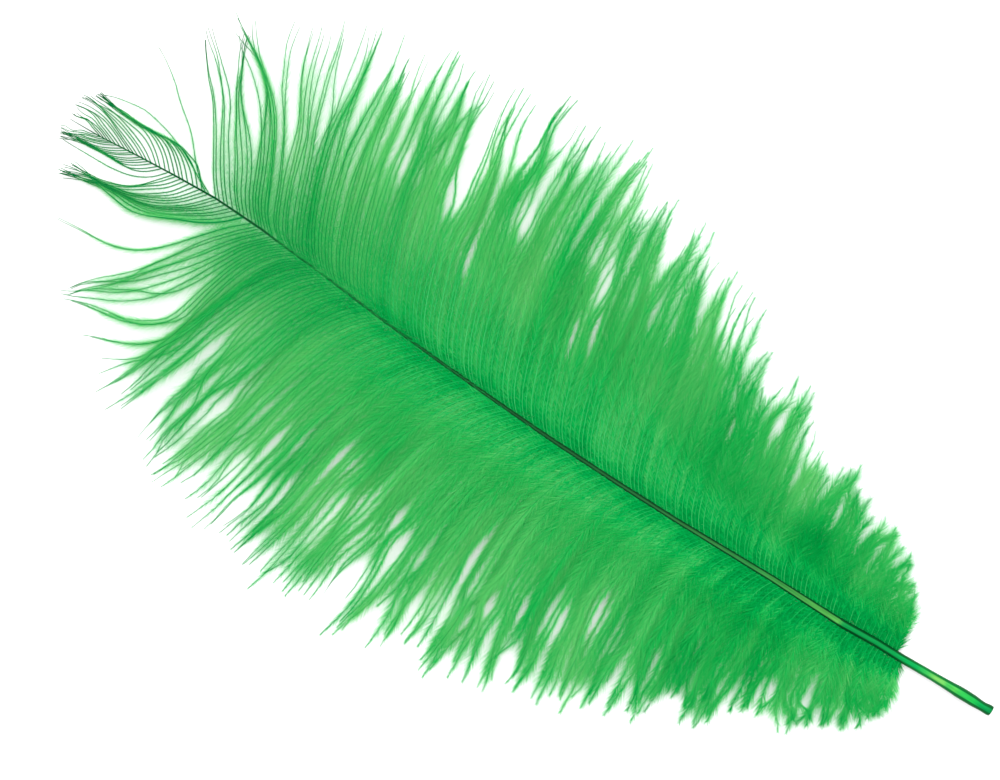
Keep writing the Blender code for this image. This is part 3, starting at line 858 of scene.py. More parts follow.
def barb_tones(barb, root, share, run, out, thinning, seed):
    """How light every barb and its down are, from 0 to 1, with painted shade on the down beside the shaft."""
    half_width = table_at(SHAFT, root, 2)
    # Painted shade: the down is darkened near the shaft and just beside its edge, where the raised shaft would
    # shade it, and less so towards the tip.
    shade = (NEAR_SHAFT_PAINTED_SHADE * (1.0 - smooth(*NEAR_SHAFT_PAINTED_SHADE_END, out))
             + SHAFT_EDGE_PAINTED_SHADE * (1.0 - smooth(*SHAFT_EDGE_PAINTED_SHADE_END, out - half_width)))
    shade *= 1.0 - EVEN_PAINTED_SHADE * smooth(*EVEN_START, root)
    patches = streaks(root * PATCH_SHARE, share * PATCH_SHARE, seed)[0]
    tone = (barb.tone[:, None] - shade + PALE_MIDDLE * smooth(*PALE_START, share)
            - DARK_END * smooth(*DARK_END_START, run))
    tone = tone + PATCH_TONE * patches * smooth(*PATCH_START, share)
    paler = 1.0 - THIN_PALER * smooth(0.0, THIN_ENOUGH, thinning)
    return np.clip(tone - QUILL_SHADE * (1.0 - smooth(*SHADE_END, root)) * paler, *TONE_RANGE)


def barb_lines(vane, spacing, seed):
    """Every barb of a vane as rows of points with what the barb and its barbules need at each point."""
    draw = np.random.default_rng(seed)
    barb = barb_habits(vane, barb_roots(vane, spacing, draw), draw)
    steps = (np.arange(BARB_POINTS) / (BARB_POINTS - 1)) ** CROWD_ROOTS
    share = steps[None, :] * barb.reach[:, None]
    run = share / barb.reach[:, None]
    root = barb.root[:, None] * np.ones_like(share)
    along, across = gathered_lines(vane, barb, root, share)

    step_along, step_across = np.gradient(along, axis=1), np.gradient(across, axis=1)
    step = np.hypot(step_along, step_across)
    aside = wave(barb.wave, barb.wave_turns, barb.wave_start, share, WAVE_POWER)
    aside += wave(barb.own_wave, barb.own_turns, barb.own_start, share, OWN_WAVE_POWER)
    streak, slope = streaks(root, share, seed + STREAK_SEED)
    outer = smooth(*STREAK_START, share) * (1.0 - barb.near_tip)[:, None]
    aside -= STREAK_PUSH * slope * outer
    parted = smooth(*PARTED_FROM, streak) * outer
    down = 1.0 - PARTED_SHORTER * parted
    open_gaps(vane, root, share, aside, down)
    along = along + aside * (vane.side * step_across / step)
    across = across + aside * (-vane.side * step_along / step)
    out = np.abs(across - table_at(SHAFT, root))

    thick = table_at(BARB_THICKNESS, root) * (1.0 - table_at(BARB_TAPERS, root) * run)
    thin_start, thin_end = table_at(vane.thinning, root, 1), table_at(vane.thinning, root, 2)
    thinning = np.clip((run - thin_start) / (1.0 - thin_start), 0.0, 1.0)
    left = thin_end ** thinning
    wide = table_at(BARBULE_WIDTHS, root) * left ** 0.5 * (1.0 - PARTED_NARROWER * parted)
    wide *= 1.0 + NEAR_WIDER * (1.0 - smooth(*NEAR_END, out)) * (1.0 - smooth(*WIDE_END, root))
    lay = (LAY - LAY_CLOSER * smooth(*LAY_CLOSER_START, out) - LAY_CLOSEST * smooth(*LAY_CLOSEST_START, out)
           + LAY_OPENER * smooth(*LAY_OPENER_START, share))
    shown = 1.0 - smooth(LINE_FADE_START, 1.0, out / table_at(vane.line_ends, root))
    # Painted highlight: a barb's line is drawn lighter where it shows over the down, for the light that its
    # raised ridge catches, fading towards the tip; then a share of its tone is added and the tip darkened.
    lit = vane.painted_highlight_strength * shown * barb.light[:, None] * (1.0 - smooth(*LINES_END, root))
    tone = barb_tones(barb, root, share, run, out, thinning, seed + PATCH_SEED)
    lit = LIT_BASE + PAINTED_HIGHLIGHT_ON_LINES * lit + LIT_BY_TONE * (tone - 0.5) - LIT_DARKER * smooth(*DARK_START, root)
    return {
        "points": in_frame(along, across, barb_heights(vane, barb, root, share)),
        "share": run,
        "thick": thick * MM,
        "fluff": barbule_lengths(root, share, run, out, down) * MM,
        "wide": wide * MM,
        "lay": np.radians(lay),
        "dip": DIP + LINES_DIP * shown + END_DIP * smooth(*END_DIP_START, run),
        "lit": np.clip(lit, 0.0, 1.0),
        "keep": left ** 0.5,
        "tone": tone,
    }


POINT_VALUES = ("share", "thick", "fluff", "wide", "lay", "dip", "lit", "tone", "keep")


def line_object(name, barbs, rows):
    """A mesh of open lines, one for each chosen barb, that carries the barbs' values at its points."""
    points = barbs["points"][rows]
    lines, steps = points.shape[:2]
    index = np.arange(lines * steps).reshape(lines, steps)
    edges = np.stack((index[:, :-1].ravel(), index[:, 1:].ravel()), axis=1)
    mesh = bpy.data.meshes.new(name)
    mesh.from_pydata(points.reshape(-1, 3).tolist(), edges.tolist(), [])
    for label in POINT_VALUES:
        attribute = mesh.attributes.new(label, "FLOAT", "POINT")
        attribute.data.foreach_set("value", barbs[label][rows].astype(np.float32).ravel())
    made = bpy.data.objects.new(name, mesh)
    bpy.context.scene.collection.objects.link(made)
    return made


def new_tree(name, inputs):
    """A geometry node tree with a geometry in and out and these named inputs besides."""
    tree = bpy.data.node_groups.new(name, "GeometryNodeTree")
    tree.interface.new_socket("Geometry", in_out="INPUT", socket_type="NodeSocketGeometry")
    tree.interface.new_socket("Geometry", in_out="OUTPUT", socket_type="NodeSocketGeometry")
    for label, kind in inputs:
        tree.interface.new_socket(label, in_out="INPUT", socket_type=kind)
    return tree


def feed(tree, socket, source):
    """Links a source to an input, or sets a plain value on it."""
    if isinstance(source, bpy.types.NodeSocket):
        tree.links.new(source, socket)
    else:
        socket.default_value = source


def add_node(tree, kind, links=(), **settings):
    """Adds a node, sets what is given and feeds (input, source) pairs to it."""
    made = tree.nodes.new(kind)
    for label, value in settings.items():
        setattr(made, label, value)
    for socket, source in links:
        feed(tree, made.inputs[socket], source)
    return made


def named(tree, label):
    """The value that the geometry carries under a name."""
    made = add_node(tree, "GeometryNodeInputNamedAttribute", [("Name", label)], data_type="FLOAT")
    return made.outputs["Attribute"]


def stored(tree, geometry, label, value, kind="FLOAT", domain="POINT"):
    """Writes a value onto the geometry under a name."""
    made = add_node(tree, "GeometryNodeStoreNamedAttribute", [("Geometry", geometry), ("Name", label)],
                    data_type=kind, domain=domain)
    feed(tree, next(socket for socket in made.inputs if socket.name == "Value" and socket.enabled), value)
    return made.outputs[0]


def maths(tree, operation, first, second):
    return add_node(tree, "ShaderNodeMath", [(0, first), (1, second)], operation=operation).outputs[0]


def random_value(tree, low, high, seed, offset):
    """A number drawn for each point between two bounds."""
    made = add_node(tree, "FunctionNodeRandomValue", data_type="FLOAT")
    bounds = [socket for socket in made.inputs if socket.type == "VALUE" and socket.name in ("Min", "Max")]
    for socket, value in zip(bounds, (low, high)):
        socket.default_value = value
    feed(tree, made.inputs["Seed"], maths(tree, "ADD", seed, offset))
    return next(socket for socket in made.outputs if socket.type == "VALUE" and socket.enabled)


def store_map(tree, geometry, across, tone, beside, sliver):
    """Writes the map that colours are read through: its first axis runs along the strand, its second is tone,
    which for the barbs holds their painted highlight.
    """
    down = maths(tree, "ADD", maths(tree, "MULTIPLY", named(tree, tone), TONE_SPAN),
                 maths(tree, "MULTIPLY", named(tree, beside), sliver))
    place = add_node(tree, "ShaderNodeCombineXYZ", [("X", named(tree, across)), ("Y", down)])
    return stored(tree, geometry, MAP, place.outputs[0], "FLOAT2", "CORNER")


def end_tree(tree, geometry, material):
    """Ends a tree with one material on everything in it."""
    covered = add_node(tree, "GeometryNodeSetMaterial", [("Geometry", geometry), ("Material", material)])
    result = tree.nodes.new("NodeGroupOutput")
    tree.links.new(covered.outputs[0], result.inputs[0])


def barb_tree():
    """Sweeps a small round section along every line, as thick as the line says."""
    tree = new_tree("Sweep Barbs", (("Sides", "NodeSocketInt"), ("Material", "NodeSocketMaterial")))
    given = tree.nodes.new("NodeGroupInput")
    curve = add_node(tree, "GeometryNodeMeshToCurve", [("Mesh", given.outputs["Geometry"])])
    circle = add_node(tree, "GeometryNodeCurvePrimitiveCircle",
                      [("Resolution", given.outputs["Sides"]), ("Radius", 1.0)])
    around = add_node(tree, "GeometryNodeSplineParameter")
    profile = stored(tree, circle.outputs[0], "around", around.outputs["Factor"])
    sized = add_node(tree, "GeometryNodeSetCurveRadius",
                     [("Curve", curve.outputs[0]), ("Radius", named(tree, "thick"))])
    swept = add_node(tree, "GeometryNodeCurveToMesh",
                     [("Curve", sized.outputs[0]), ("Profile Curve", profile), ("Fill Caps", True)])
    if "Scale" in swept.inputs:
        tree.links.new(named(tree, "thick"), swept.inputs["Scale"])
    mapped = store_map(tree, swept.outputs[0], "share", "lit", "around", BARB_SLIVER)
    rounded = add_node(tree, "GeometryNodeSetShadeSmooth", [("Geometry", mapped)])
    real = add_node(tree, "GeometryNodeRealizeInstances", [("Geometry", rounded.outputs[0])])
    end_tree(tree, real.outputs[0], given.outputs["Material"])
    return tree


def barbule_side(tree, given, dots, facing, blade, sign, start):
    """Sets a barbule on one side of every line, slid, turned, rolled and sized by chance."""
    def drawn(low, high, offset):
        return random_value(tree, low, high, given.outputs["Seed"], start + offset)

    slid = add_node(tree, "ShaderNodeVectorMath", [(0, dots.outputs["Tangent"])], operation="SCALE")
    tree.links.new(drawn(-BARBULE_SLIDE * MM, BARBULE_SLIDE * MM, 1), slid.inputs["Scale"])
    moved = add_node(tree, "GeometryNodeSetPosition",
                     [("Geometry", dots.outputs["Points"]), ("Offset", slid.outputs[0])])
    tone = maths(tree, "ADD", named(tree, "tone"), drawn(-BARBULE_TONE, BARBULE_TONE, 2))
    tone = maths(tree, "MINIMUM", maths(tree, "MAXIMUM", tone, 0.0), 1.0)
    toned = stored(tree, moved.outputs[0], "tone", tone)
    turn = maths(tree, "ADD", named(tree, "lay"), drawn(-BARBULE_TURN, BARBULE_TURN, 3))
    pitch = maths(tree, "ADD", named(tree, "dip"), drawn(-BARBULE_PITCH, BARBULE_PITCH, 5))
    angles = add_node(tree, "ShaderNodeCombineXYZ", [
        ("X", drawn(-BARBULE_ROLL, BARBULE_ROLL, 4)), ("Y", pitch), ("Z", maths(tree, "MULTIPLY", turn, sign))])
    euler = add_node(tree, "FunctionNodeEulerToRotation", [(0, angles.outputs[0])])
    turned = add_node(tree, "FunctionNodeRotateRotation", [
        ("Rotation", facing.outputs[0]), ("Rotate By", euler.outputs[0])], rotation_space="LOCAL")
    shape = add_node(tree, "GeometryNodeObjectInfo", [("Object", blade)])
    length = maths(tree, "MULTIPLY", named(tree, "fluff"), drawn(*BARBULE_STRETCH, 6))
    width = maths(tree, "MULTIPLY", named(tree, "wide"), maths(tree, "POWER", drawn(*BARBULE_BREADTH, 8), 2.0))
    size = add_node(tree, "ShaderNodeCombineXYZ", [("X", length), ("Y", width), ("Z", length)])
    long_enough = maths(tree, "GREATER_THAN", length, LEAST_BARBULE * MM)
    kept = maths(tree, "LESS_THAN", drawn(0.0, 1.0, 7), named(tree, "keep"))
    grown = add_node(tree, "GeometryNodeInstanceOnPoints", [
        ("Points", toned), ("Selection", maths(tree, "MULTIPLY", long_enough, kept)),
        ("Instance", shape.outputs["Geometry"]), ("Rotation", turned.outputs[0]), ("Scale", size.outputs[0])])
    return grown.outputs[0]


def barbule_tree():
    """Sets barbules on both sides of every line at even steps, and lifts what would reach below the table."""
    tree = new_tree("Grow Barbules", (
        ("Spacing", "NodeSocketFloat"), ("Seed", "NodeSocketInt"), ("Left", "NodeSocketObject"),
        ("Right", "NodeSocketObject"), ("Material", "NodeSocketMaterial")))
    given = tree.nodes.new("NodeGroupInput")
    curve = add_node(tree, "GeometryNodeMeshToCurve", [("Mesh", given.outputs["Geometry"])])
    dots = add_node(tree, "GeometryNodeCurveToPoints",
                    [("Curve", curve.outputs[0]), ("Length", given.outputs["Spacing"])], mode="LENGTH")
    facing = add_node(tree, "FunctionNodeAxesToRotation",
                      [("Primary Axis", dots.outputs["Tangent"]), ("Secondary Axis", (0.0, 0.0, 1.0))],
                      primary_axis="X", secondary_axis="Z")
    left = barbule_side(tree, given, dots, facing, given.outputs["Left"], 1.0, 0)
    right = barbule_side(tree, given, dots, facing, given.outputs["Right"], -1.0, 10)
    joined = tree.nodes.new("GeometryNodeJoinGeometry")
    tree.links.new(left, joined.inputs[0])
    tree.links.new(right, joined.inputs[0])
    real = add_node(tree, "GeometryNodeRealizeInstances", [("Geometry", joined.outputs[0])])
    where = tree.nodes.new("GeometryNodeInputPosition")
    above = add_node(tree, "ShaderNodeVectorMath", [
        (0, where.outputs[0]), (1, (METRE_OFF, METRE_OFF, BARBULE_CLEARANCE * MM))], operation="MAXIMUM")
    lifted = add_node(tree, "GeometryNodeSetPosition", [
        ("Geometry", real.outputs[0]), ("Position", above.outputs[0])])
    mapped = store_map(tree, lifted.outputs[0], "outward", "tone", "beside", BARBULE_SLIVER)
    end_tree(tree, mapped, given.outputs["Material"])
    return tree


def barbule_blade(name, side):
    """One barbule of unit length: a flat needle that leans towards the barb's end."""
    mesh = bpy.data.meshes.new(name)
    points = [(0.0, 1.0, 0.0), (0.0, -1.0, 0.0), (1.0, -BARBULE_TIP_LEAN * side, 0.0)]
    mesh.from_pydata(points, [], [(0, 1, 2)])
    for label, values in (("outward", (0.0, 0.0, 1.0)), ("beside", (1.0, 0.0, 0.5))):
        mesh.attributes.new(label, "FLOAT", "POINT").data.foreach_set("value", values)
    made = bpy.data.objects.new(name, mesh)
    bpy.context.scene.collection.objects.link(made)
    return made


def grown_mesh(name, source, tree, values):
    """Runs a tree on an object and keeps the result as one plain mesh object at the origin."""
    modifier = source.modifiers.new(tree.name, "NODES")
    modifier.node_group = tree
    sockets = {item.name: item.identifier for item in tree.interface.items_tree
               if item.item_type == "SOCKET" and item.in_out == "INPUT"}
    for label, value in values.items():
        modifier[sockets[label]] = value
    graph = bpy.context.evaluated_depsgraph_get()
    mesh = bpy.data.meshes.new_from_object(source.evaluated_get(graph))
    mesh.name = name
    for label in POINT_VALUES + ("around", "outward", "beside"):
        if label in mesh.attributes:
            mesh.attributes.remove(mesh.attributes[label])
    made = bpy.data.objects.new(name, mesh)
    bpy.context.scene.collection.objects.link(made)
    bpy.data.objects.remove(source, do_unlink=True)
    return made


def finish_piece(piece):
    """A finished piece lies with the feather and stands for its solid."""
    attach(piece, BODY)
    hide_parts(CAD_NODE)


def ramp_node(tree, stops, source):
    """A colour ramp with these (place, linear colour) stops."""
    made = tree.nodes.new("ShaderNodeValToRGB")
    elements = made.color_ramp.elements
    while len(elements) > 1:
        elements.remove(elements[-1])
    elements[0].position = stops[0][0]
    elements[0].color = (*stops[0][1], 1.0)
    for place, colour in stops[1:]:
        element = elements.new(place)
        element.color = (*colour, 1.0)
    tree.links.new(source, made.inputs["Fac"])
    return made.outputs["Color"]


def mixed_colour(tree, share, first, second, blend="MIX"):
    """Two colours mixed or multiplied by a share."""
    made = add_node(tree, "ShaderNodeMix", data_type="RGBA", blend_type=blend)
    sockets = {socket.name: socket for socket in made.inputs if socket.enabled}
    for label, source in (("Factor", share), ("A", first), ("B", second)):
        feed(tree, sockets[label], source)
    return next(socket for socket in made.outputs if socket.enabled)


def new_material(name, roughness, gloss, tint=WHITE):
    """A material with its node tree and its main shader, with how rough it is and how and in what it shines."""
    material = bpy.data.materials.new(name)
    material.use_nodes = True
    shader = material.node_tree.nodes["Principled BSDF"]
    shader.inputs["Roughness"].default_value = roughness
    shader.inputs["Specular IOR Level"].default_value = gloss
    shader.inputs["Specular Tint"].default_value = tint
    return material, material.node_tree, shader


def read_map(tree):
    """The piece's own map, and the two axes that its colours are read along."""
    place = add_node(tree, "ShaderNodeUVMap", uv_map=MAP)
    axes = add_node(tree, "ShaderNodeSeparateXYZ", [(0, place.outputs[0])])
    return place.outputs[0], axes.outputs["X"], axes.outputs["Y"]


def strand_material(name, tones, lengthwise, roughness, glow_through):
    """Dyed keratin: its colour is read by the strand's tone and by the place along it; light passes through."""
    material, tree, shader = new_material(name, roughness, gloss=0.08, tint=(0.15, 1.0, 0.35, 1.0))
    _, along, tone = read_map(tree)
    # For the barbs the tone holds their painted highlight; for the barbules the place along them darkens their
    # roots with painted shade.
    by_tone, by_length = ramp_node(tree, tones, tone), ramp_node(tree, lengthwise, along)
    colour = mixed_colour(tree, 1.0, by_tone, by_length, "MULTIPLY")
    tree.links.new(colour, shader.inputs["Base Color"])
    through = add_node(tree, "ShaderNodeBsdfTranslucent", [("Color", colour)])
    both = add_node(tree, "ShaderNodeMixShader", [
        (0, glow_through), (1, shader.outputs[0]), (2, through.outputs[0])])
    tree.links.new(both.outputs[0], tree.nodes["Material Output"].inputs["Surface"])
    return material


def dyed(tones, dye):
    """A ramp's colours as they are in the plain dye, moved with it to another."""
    change = [new / plain for new, plain in zip(dye, DYE)]
    return [(place, [min(1.0, part * share) for part, share in zip(colour, change)]) for place, colour in tones]


def barb_material(dye):
    return strand_material("barb_keratin", dyed(BARB_TONES, dye), BARB_LENGTHWISE, roughness=0.42,
                           glow_through=0.15)


def barbule_material(dye):
    return strand_material("barbule_down", dyed(BARBULE_TONES, dye), BARBULE_PAINTED_SHADE_ALONG, roughness=0.62,
                           glow_through=0.5)


def shaft_section(along, angle):
    """The shaft's section, with a half width of 1, by the angle from underneath: round, then grooved."""
    side, height = np.sin(angle), -np.cos(angle)
    boxed_side = np.sign(side) * np.abs(side) ** BOXED_SIDE
    boxed_height = np.sign(height) * np.abs(height) ** BOXED_TOP * FLATNESS
    groove = GROOVE_DEPTH * (1.0 - GROOVE_SHALLOWER * smooth(*GROOVE_SHALLOWS, along))
    boxed_height = boxed_height - np.where(height > 0, groove * np.exp(-(boxed_side / GROOVE_WIDTH) ** 2), 0.0)
    boxed_height = np.maximum(boxed_height, LOWEST_SIDE)
    grooved = smooth(GROOVE_START, GROOVE_FULL, along)
    return side + (boxed_side - side) * grooved, height + (boxed_height - height) * grooved


def shaft_ring(along, width_share=1.0):
    """One ring of points round the shaft, or round its hollow as a share of its width."""
    angle = 2 * math.pi * np.arange(SHAFT_SIDES) / SHAFT_SIDES
    across, half_width, underside = (float(table_at(SHAFT, along, column)) for column in (1, 2, 3))
    ripple = 1.0 + RIPPLE * math.sin(along * RIPPLE_TURNS[0]) * math.sin(along * RIPPLE_TURNS[1])
    side, height = shaft_section(along, angle)
    middle = underside - float(height.min()) * half_width
    return in_frame(np.full(SHAFT_SIDES, along), across + side * half_width * width_share * ripple,
                    middle + height * half_width * width_share)


def shaft_mesh(name):
    """The shaft from the bottom of the quill's hollow, out of its cut end and along the outside to the tip."""
    outer = np.unique(np.concatenate((np.arange(0.0, SHAFT_LENGTH, SHAFT_STEP), np.arange(*CLOSE_RINGS),
                                      (GROOVE_START, GROOVE_FULL, SHAFT_LENGTH))))
    end_width, bottom_width = (float(table_at(SHAFT, along, 2)) for along in (0.0, BORE_DEPTH))
    rings = [shaft_ring(BORE_DEPTH, BORE_POINT), shaft_ring(BORE_DEPTH, BORE_RADIUS / bottom_width)]
    middle_drop = shaft_ring(0.0).mean(axis=0)[2] - rings[0].mean(axis=0)[2]
    rings = [ring + np.array((0.0, 0.0, middle_drop)) for ring in rings]
    rings.append(shaft_ring(0.0, BORE_RADIUS / end_width))
    rings.append(shaft_ring(0.0, CUT_LIP))
    rings.extend(shaft_ring(float(along)) for along in outer[1:])
    places = [0.0, 0.0, 0.0, 0.0] + [float(along) / SHAFT_LENGTH for along in outer[1:]]
    built = bmesh.new()
    layer = built.loops.layers.uv.new(MAP)
    made = [[built.verts.new(point) for point in ring] for ring in rings]
    for number, (ring, following) in enumerate(zip(made, made[1:])):
        for index in range(SHAFT_SIDES):
            after = (index + 1) % SHAFT_SIDES
            face = built.faces.new((ring[index], ring[after], following[after], following[index]))
            face.smooth = True
            corners = ((number, index), (number, index + 1), (number + 1, index + 1), (number + 1, index))
            for loop, (where, turn) in zip(face.loops, corners):
                loop[layer].uv = (places[where], turn / SHAFT_SIDES)
    for ring, place in ((made[0], 0.0), (made[-1], 1.0)):
        face = built.faces.new(ring)
        for index, loop in enumerate(face.loops):
            loop[layer].uv = (place, index / SHAFT_SIDES)
    bmesh.ops.recalc_face_normals(built, faces=built.faces)
    mesh = bpy.data.meshes.new(name)
    built.to_mesh(mesh)
    built.free()
    return mesh


def quill_material():
    """Horn: green with dark edges, and a pale lime strip where the groove starts that turns olive and dark."""
    material, tree, shader = new_material("quill_horn", roughness=0.42, gloss=0.12, tint=(0.3, 1.0, 0.4, 1.0))
    place, along, around = read_map(tree)
    off_top = maths(tree, "ABSOLUTE", maths(tree, "SUBTRACT", around, 0.5), 0.0)
    narrowing = ramp_node(tree, HORN_NARROWING, along)
    rim = add_node(tree, "ShaderNodeMapRange", [
        ("Value", maths(tree, "ADD", off_top, narrowing)), ("From Min", HORN_RIM[0]), ("From Max", HORN_RIM[1])],
        interpolation_type="SMOOTHSTEP")
    # Painted shade: a dark line down the middle of the top, in the groove, from part way along the shaft.
    middle = add_node(tree, "ShaderNodeMapRange", [
        ("Value", off_top), ("From Min", 0.0), ("From Max", HORN_GROOVE_SHADE_EDGE), ("To Min", 1.0), ("To Max", 0.0)])
    groove_line_shade = maths(tree, "MULTIPLY", ramp_node(tree, HORN_GROOVE_PAINTED_SHADE, along), middle.outputs["Result"])
    strip = mixed_colour(tree, groove_line_shade, ramp_node(tree, HORN_STRIP, along), HORN_GROOVE_SHADE_COLOUR)
    colour = mixed_colour(tree, rim.outputs["Result"], strip, ramp_node(tree, HORN_EDGE, along))
    stretched = add_node(tree, "ShaderNodeMapping", [("Vector", place), ("Scale", HORN_STREAKS)])
    grain = add_node(tree, "ShaderNodeTexNoise", [
        ("Vector", stretched.outputs[0]), ("Scale", 1.0), ("Detail", 3.0)])
    colour = mixed_colour(tree, 1.0, colour, ramp_node(tree, HORN_SHADES, grain.outputs["Fac"]), "MULTIPLY")
    tree.links.new(colour, shader.inputs["Base Color"])
    bump = add_node(tree, "ShaderNodeBump", [
        ("Height", grain.outputs["Fac"]), ("Strength", HORN_BUMP), ("Distance", HORN_BUMP_DEPTH * MM)])
    tree.links.new(bump.outputs[0], shader.inputs["Normal"])
    return material


def table_material():
    """White opal glass that glows a little from below, as on a light table."""
    material, tree, shader = new_material("table_white", roughness=0.9, gloss=0.1)
    coordinates = add_node(tree, "ShaderNodeTexCoord")
    grain = add_node(tree, "ShaderNodeTexNoise", [("Vector", coordinates.outputs["Object"]), ("Scale", 220.0)])
    tree.links.new(ramp_node(tree, TABLE_TONES, grain.outputs["Fac"]), shader.inputs["Base Color"])
    shader.inputs["Emission Color"].default_value = WHITE
    shader.inputs["Emission Strength"].default_value = TABLE_GLOW
    return material


class PlumeSettings(bpy.types.PropertyGroup):
    """What a user may change about the plume before its pieces are built."""

    barb_spacing: FloatProperty(
        name="Barb Spacing", description="Distance between neighbouring barbs along the shaft",
        default=1.3 * MM, min=0.5 * MM, unit="LENGTH", subtype="DISTANCE")
    barbule_spacing: FloatProperty(
        name="Barbule Spacing", description="Distance between neighbouring barbules along a barb",
        default=0.0515 * MM, min=0.02 * MM, unit="LENGTH", subtype="DISTANCE")
    barb_sides: IntProperty(
        name="Barb Sides", description="Number of sides of a barb's round section", default=3, min=3)
    seed: IntProperty(
        name="Seed", description="Start of the random draws that make no two barbs alike", default=7)
    dye: FloatVectorProperty(
        name="Dye", description="Colour of the down; every lighter and darker tone moves with it", default=DYE,
        min=0.0, max=1.0, size=3, subtype="COLOR")
    light_strength: FloatProperty(
        name="Light Strength", description="Power of the soft light over the table", default=16.0,
        min=0.0, unit="POWER")


def vanes():
    """The two vanes: plus on the feather's +Y side, minus on its -Y side."""
    return (Vane("plus", 1, PLUS_ROWS, PLUS_GUIDES, PLUS_PARTINGS, PLUS_WORN, FIRST_PLUS, PLUS_CLUMPING,
                 PLUS_THINNING, PLUS_SWEEP, (PLUS_LINE_ENDS, PLUS_PAINTED_HIGHLIGHT)),
            Vane("minus", -1, MINUS_ROWS, MINUS_GUIDES, MINUS_PARTINGS, MINUS_WORN, FIRST_MINUS, MINUS_CLUMPING,
                 MINUS_THINNING, MINUS_SWEEP, (MINUS_LINE_ENDS, MINUS_PAINTED_HIGHLIGHT)))


class PLUME_OT_add_shaft(bpy.types.Operator):
    """Adds the quill and the grooved shaft that carries on from it to the tip"""

    bl_idname = "plume.add_shaft"
    bl_label = "Add Shaft"

    def execute(self, context):
        mesh = shaft_mesh("shaft")
        mesh.materials.append(quill_material())
        shaft = bpy.data.objects.new("shaft", mesh)
        context.scene.collection.objects.link(shaft)
        finish_piece(shaft)
        return {"FINISHED"}


class PLUME_OT_add_barbs(bpy.types.Operator):
    """Adds the two rows of barbs, each a thin tapering strand"""

    bl_idname = "plume.add_barbs"
    bl_label = "Add Barbs"

    def execute(self, context):
        settings = context.scene.plume
        tree = barb_tree()
        material = barb_material(settings.dye)
        for vane in vanes():
            barbs = barb_lines(vane, settings.barb_spacing / MM, settings.seed + vane.side)
            lines = line_object("barb_lines_" + vane.name, barbs, slice(None))
            piece = grown_mesh("barbs_" + vane.name, lines, tree, {
                "Sides": settings.barb_sides, "Material": material})
            finish_piece(piece)
        return {"FINISHED"}


class PLUME_OT_add_barbules(bpy.types.Operator):
    """Adds the fine barbules that stand along both sides of every barb"""

    bl_idname = "plume.add_barbules"
    bl_label = "Add Barbules"

    def execute(self, context):
        settings = context.scene.plume
        tree = barbule_tree()
        material = barbule_material(settings.dye)
        blades = [barbule_blade("barbule_left", 1.0), barbule_blade("barbule_right", -1.0)]
        for vane in vanes():
            barbs = barb_lines(vane, settings.barb_spacing / MM, settings.seed + vane.side)
            lengths = np.linalg.norm(np.diff(barbs["points"], axis=1), axis=2).sum(axis=1)
            before = np.cumsum(lengths) / lengths.sum()
            for part in range(PIECES_PER_VANE):
                rows = (before > part / PIECES_PER_VANE) & (before <= (part + 1) / PIECES_PER_VANE)
                lines = line_object("barbule_lines", barbs, rows)
                piece = grown_mesh("barbules_%s_%d" % (vane.name, part + 1), lines, tree, {
                    "Spacing": settings.barbule_spacing, "Seed": settings.seed + PIECE_SEED_STEP * part,
                    "Left": blades[0], "Right": blades[1], "Material": material})
                finish_piece(piece)
        for blade in blades:
            bpy.data.objects.remove(blade, do_unlink=True)
        return {"FINISHED"}


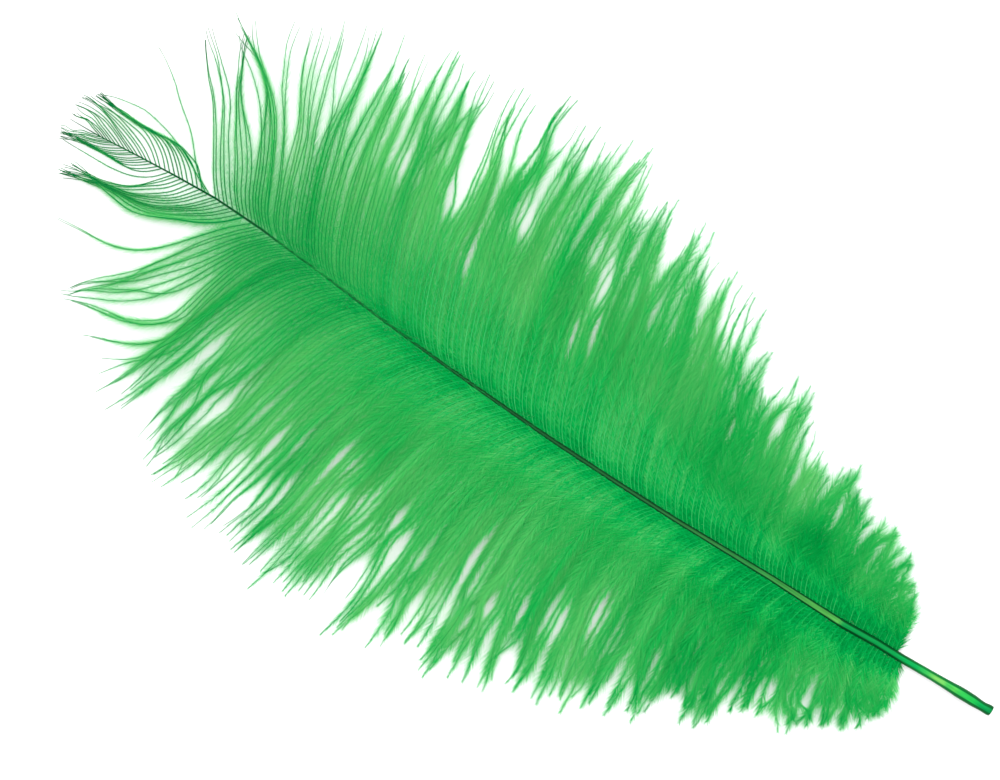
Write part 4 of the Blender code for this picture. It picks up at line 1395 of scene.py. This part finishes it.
class PLUME_OT_add_stage(bpy.types.Operator):
    """Adds the pale table, the soft light over it and the camera that looks straight down"""

    bl_idname = "plume.add_stage"
    bl_label = "Add Stage"

    def execute(self, context):
        scene = context.scene
        bpy.ops.mesh.primitive_plane_add(size=TABLE_SIZE, location=(0.0, 0.0, -TABLE_GAP * MM))
        table = context.object
        table.name = "table"
        table.data.materials.append(table_material())

        lamp = bpy.data.lights.new("softbox", "AREA")
        lamp.shape = "DISK"
        lamp.size = SOFTBOX_SIZE
        lamp.energy = scene.plume.light_strength
        softbox = bpy.data.objects.new("softbox", lamp)
        softbox.location = SOFTBOX_PLACE
        softbox.rotation_euler = (math.radians(SOFTBOX_TURN[0]), math.radians(SOFTBOX_TURN[1]), 0.0)
        scene.collection.objects.link(softbox)

        world = bpy.data.worlds.new("studio")
        world.use_nodes = True
        background = world.node_tree.nodes["Background"]
        background.inputs["Color"].default_value = WHITE
        background.inputs["Strength"].default_value = STUDIO_LIGHT
        scene.world = world
        scene.view_settings.view_transform = "Standard"

        lens = bpy.data.cameras.new("camera")
        lens.lens = CAMERA_LENS
        lens.sensor_width = SENSOR
        lens.clip_start, lens.clip_end = CAMERA_CLIP
        camera = bpy.data.objects.new("camera", lens)
        right, up = np.array(PICTURE_RIGHT), np.array(PICTURE_UP)
        back = np.cross(right, up)
        distance = PICTURE_WIDTH / PIXELS_PER_MM * MM * CAMERA_LENS / SENSOR
        place = np.array(CAMERA_POINT) * MM + back * distance
        matrix = Matrix.Identity(4)
        for column, axis in enumerate((right, up, back)):
            for row in range(3):
                matrix[row][column] = axis[row]
        matrix.translation = place
        camera.matrix_world = matrix
        scene.collection.objects.link(camera)
        scene.camera = camera
        return {"FINISHED"}


class PLUME_PT_panel(bpy.types.Panel):
    """The plume's settings and operators in the 3D view's sidebar"""

    bl_idname = "PLUME_PT_panel"
    bl_label = "Ostrich Plume"
    bl_space_type = "VIEW_3D"
    bl_region_type = "UI"
    bl_category = "Plume"

    def draw(self, context):
        layout = self.layout
        settings = context.scene.plume
        for label in PlumeSettings.__annotations__:
            layout.prop(settings, label)
        for operator in (PLUME_OT_add_shaft, PLUME_OT_add_barbs, PLUME_OT_add_barbules, PLUME_OT_add_stage):
            layout.operator(operator.bl_idname)


CLASSES = (PlumeSettings, PLUME_OT_add_shaft, PLUME_OT_add_barbs, PLUME_OT_add_barbules, PLUME_OT_add_stage,
           PLUME_PT_panel)


def register():
    for each in CLASSES:
        bpy.utils.register_class(each)
    bpy.types.Scene.plume = PointerProperty(type=PlumeSettings)


def unregister():
    del bpy.types.Scene.plume
    for each in reversed(CLASSES):
        bpy.utils.unregister_class(each)


def main():
    register()
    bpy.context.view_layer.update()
    bpy.ops.plume.add_shaft()
    bpy.ops.plume.add_barbs()
    bpy.ops.plume.add_barbules()
    bpy.ops.plume.add_stage()


if __name__ == "__main__":
    main()
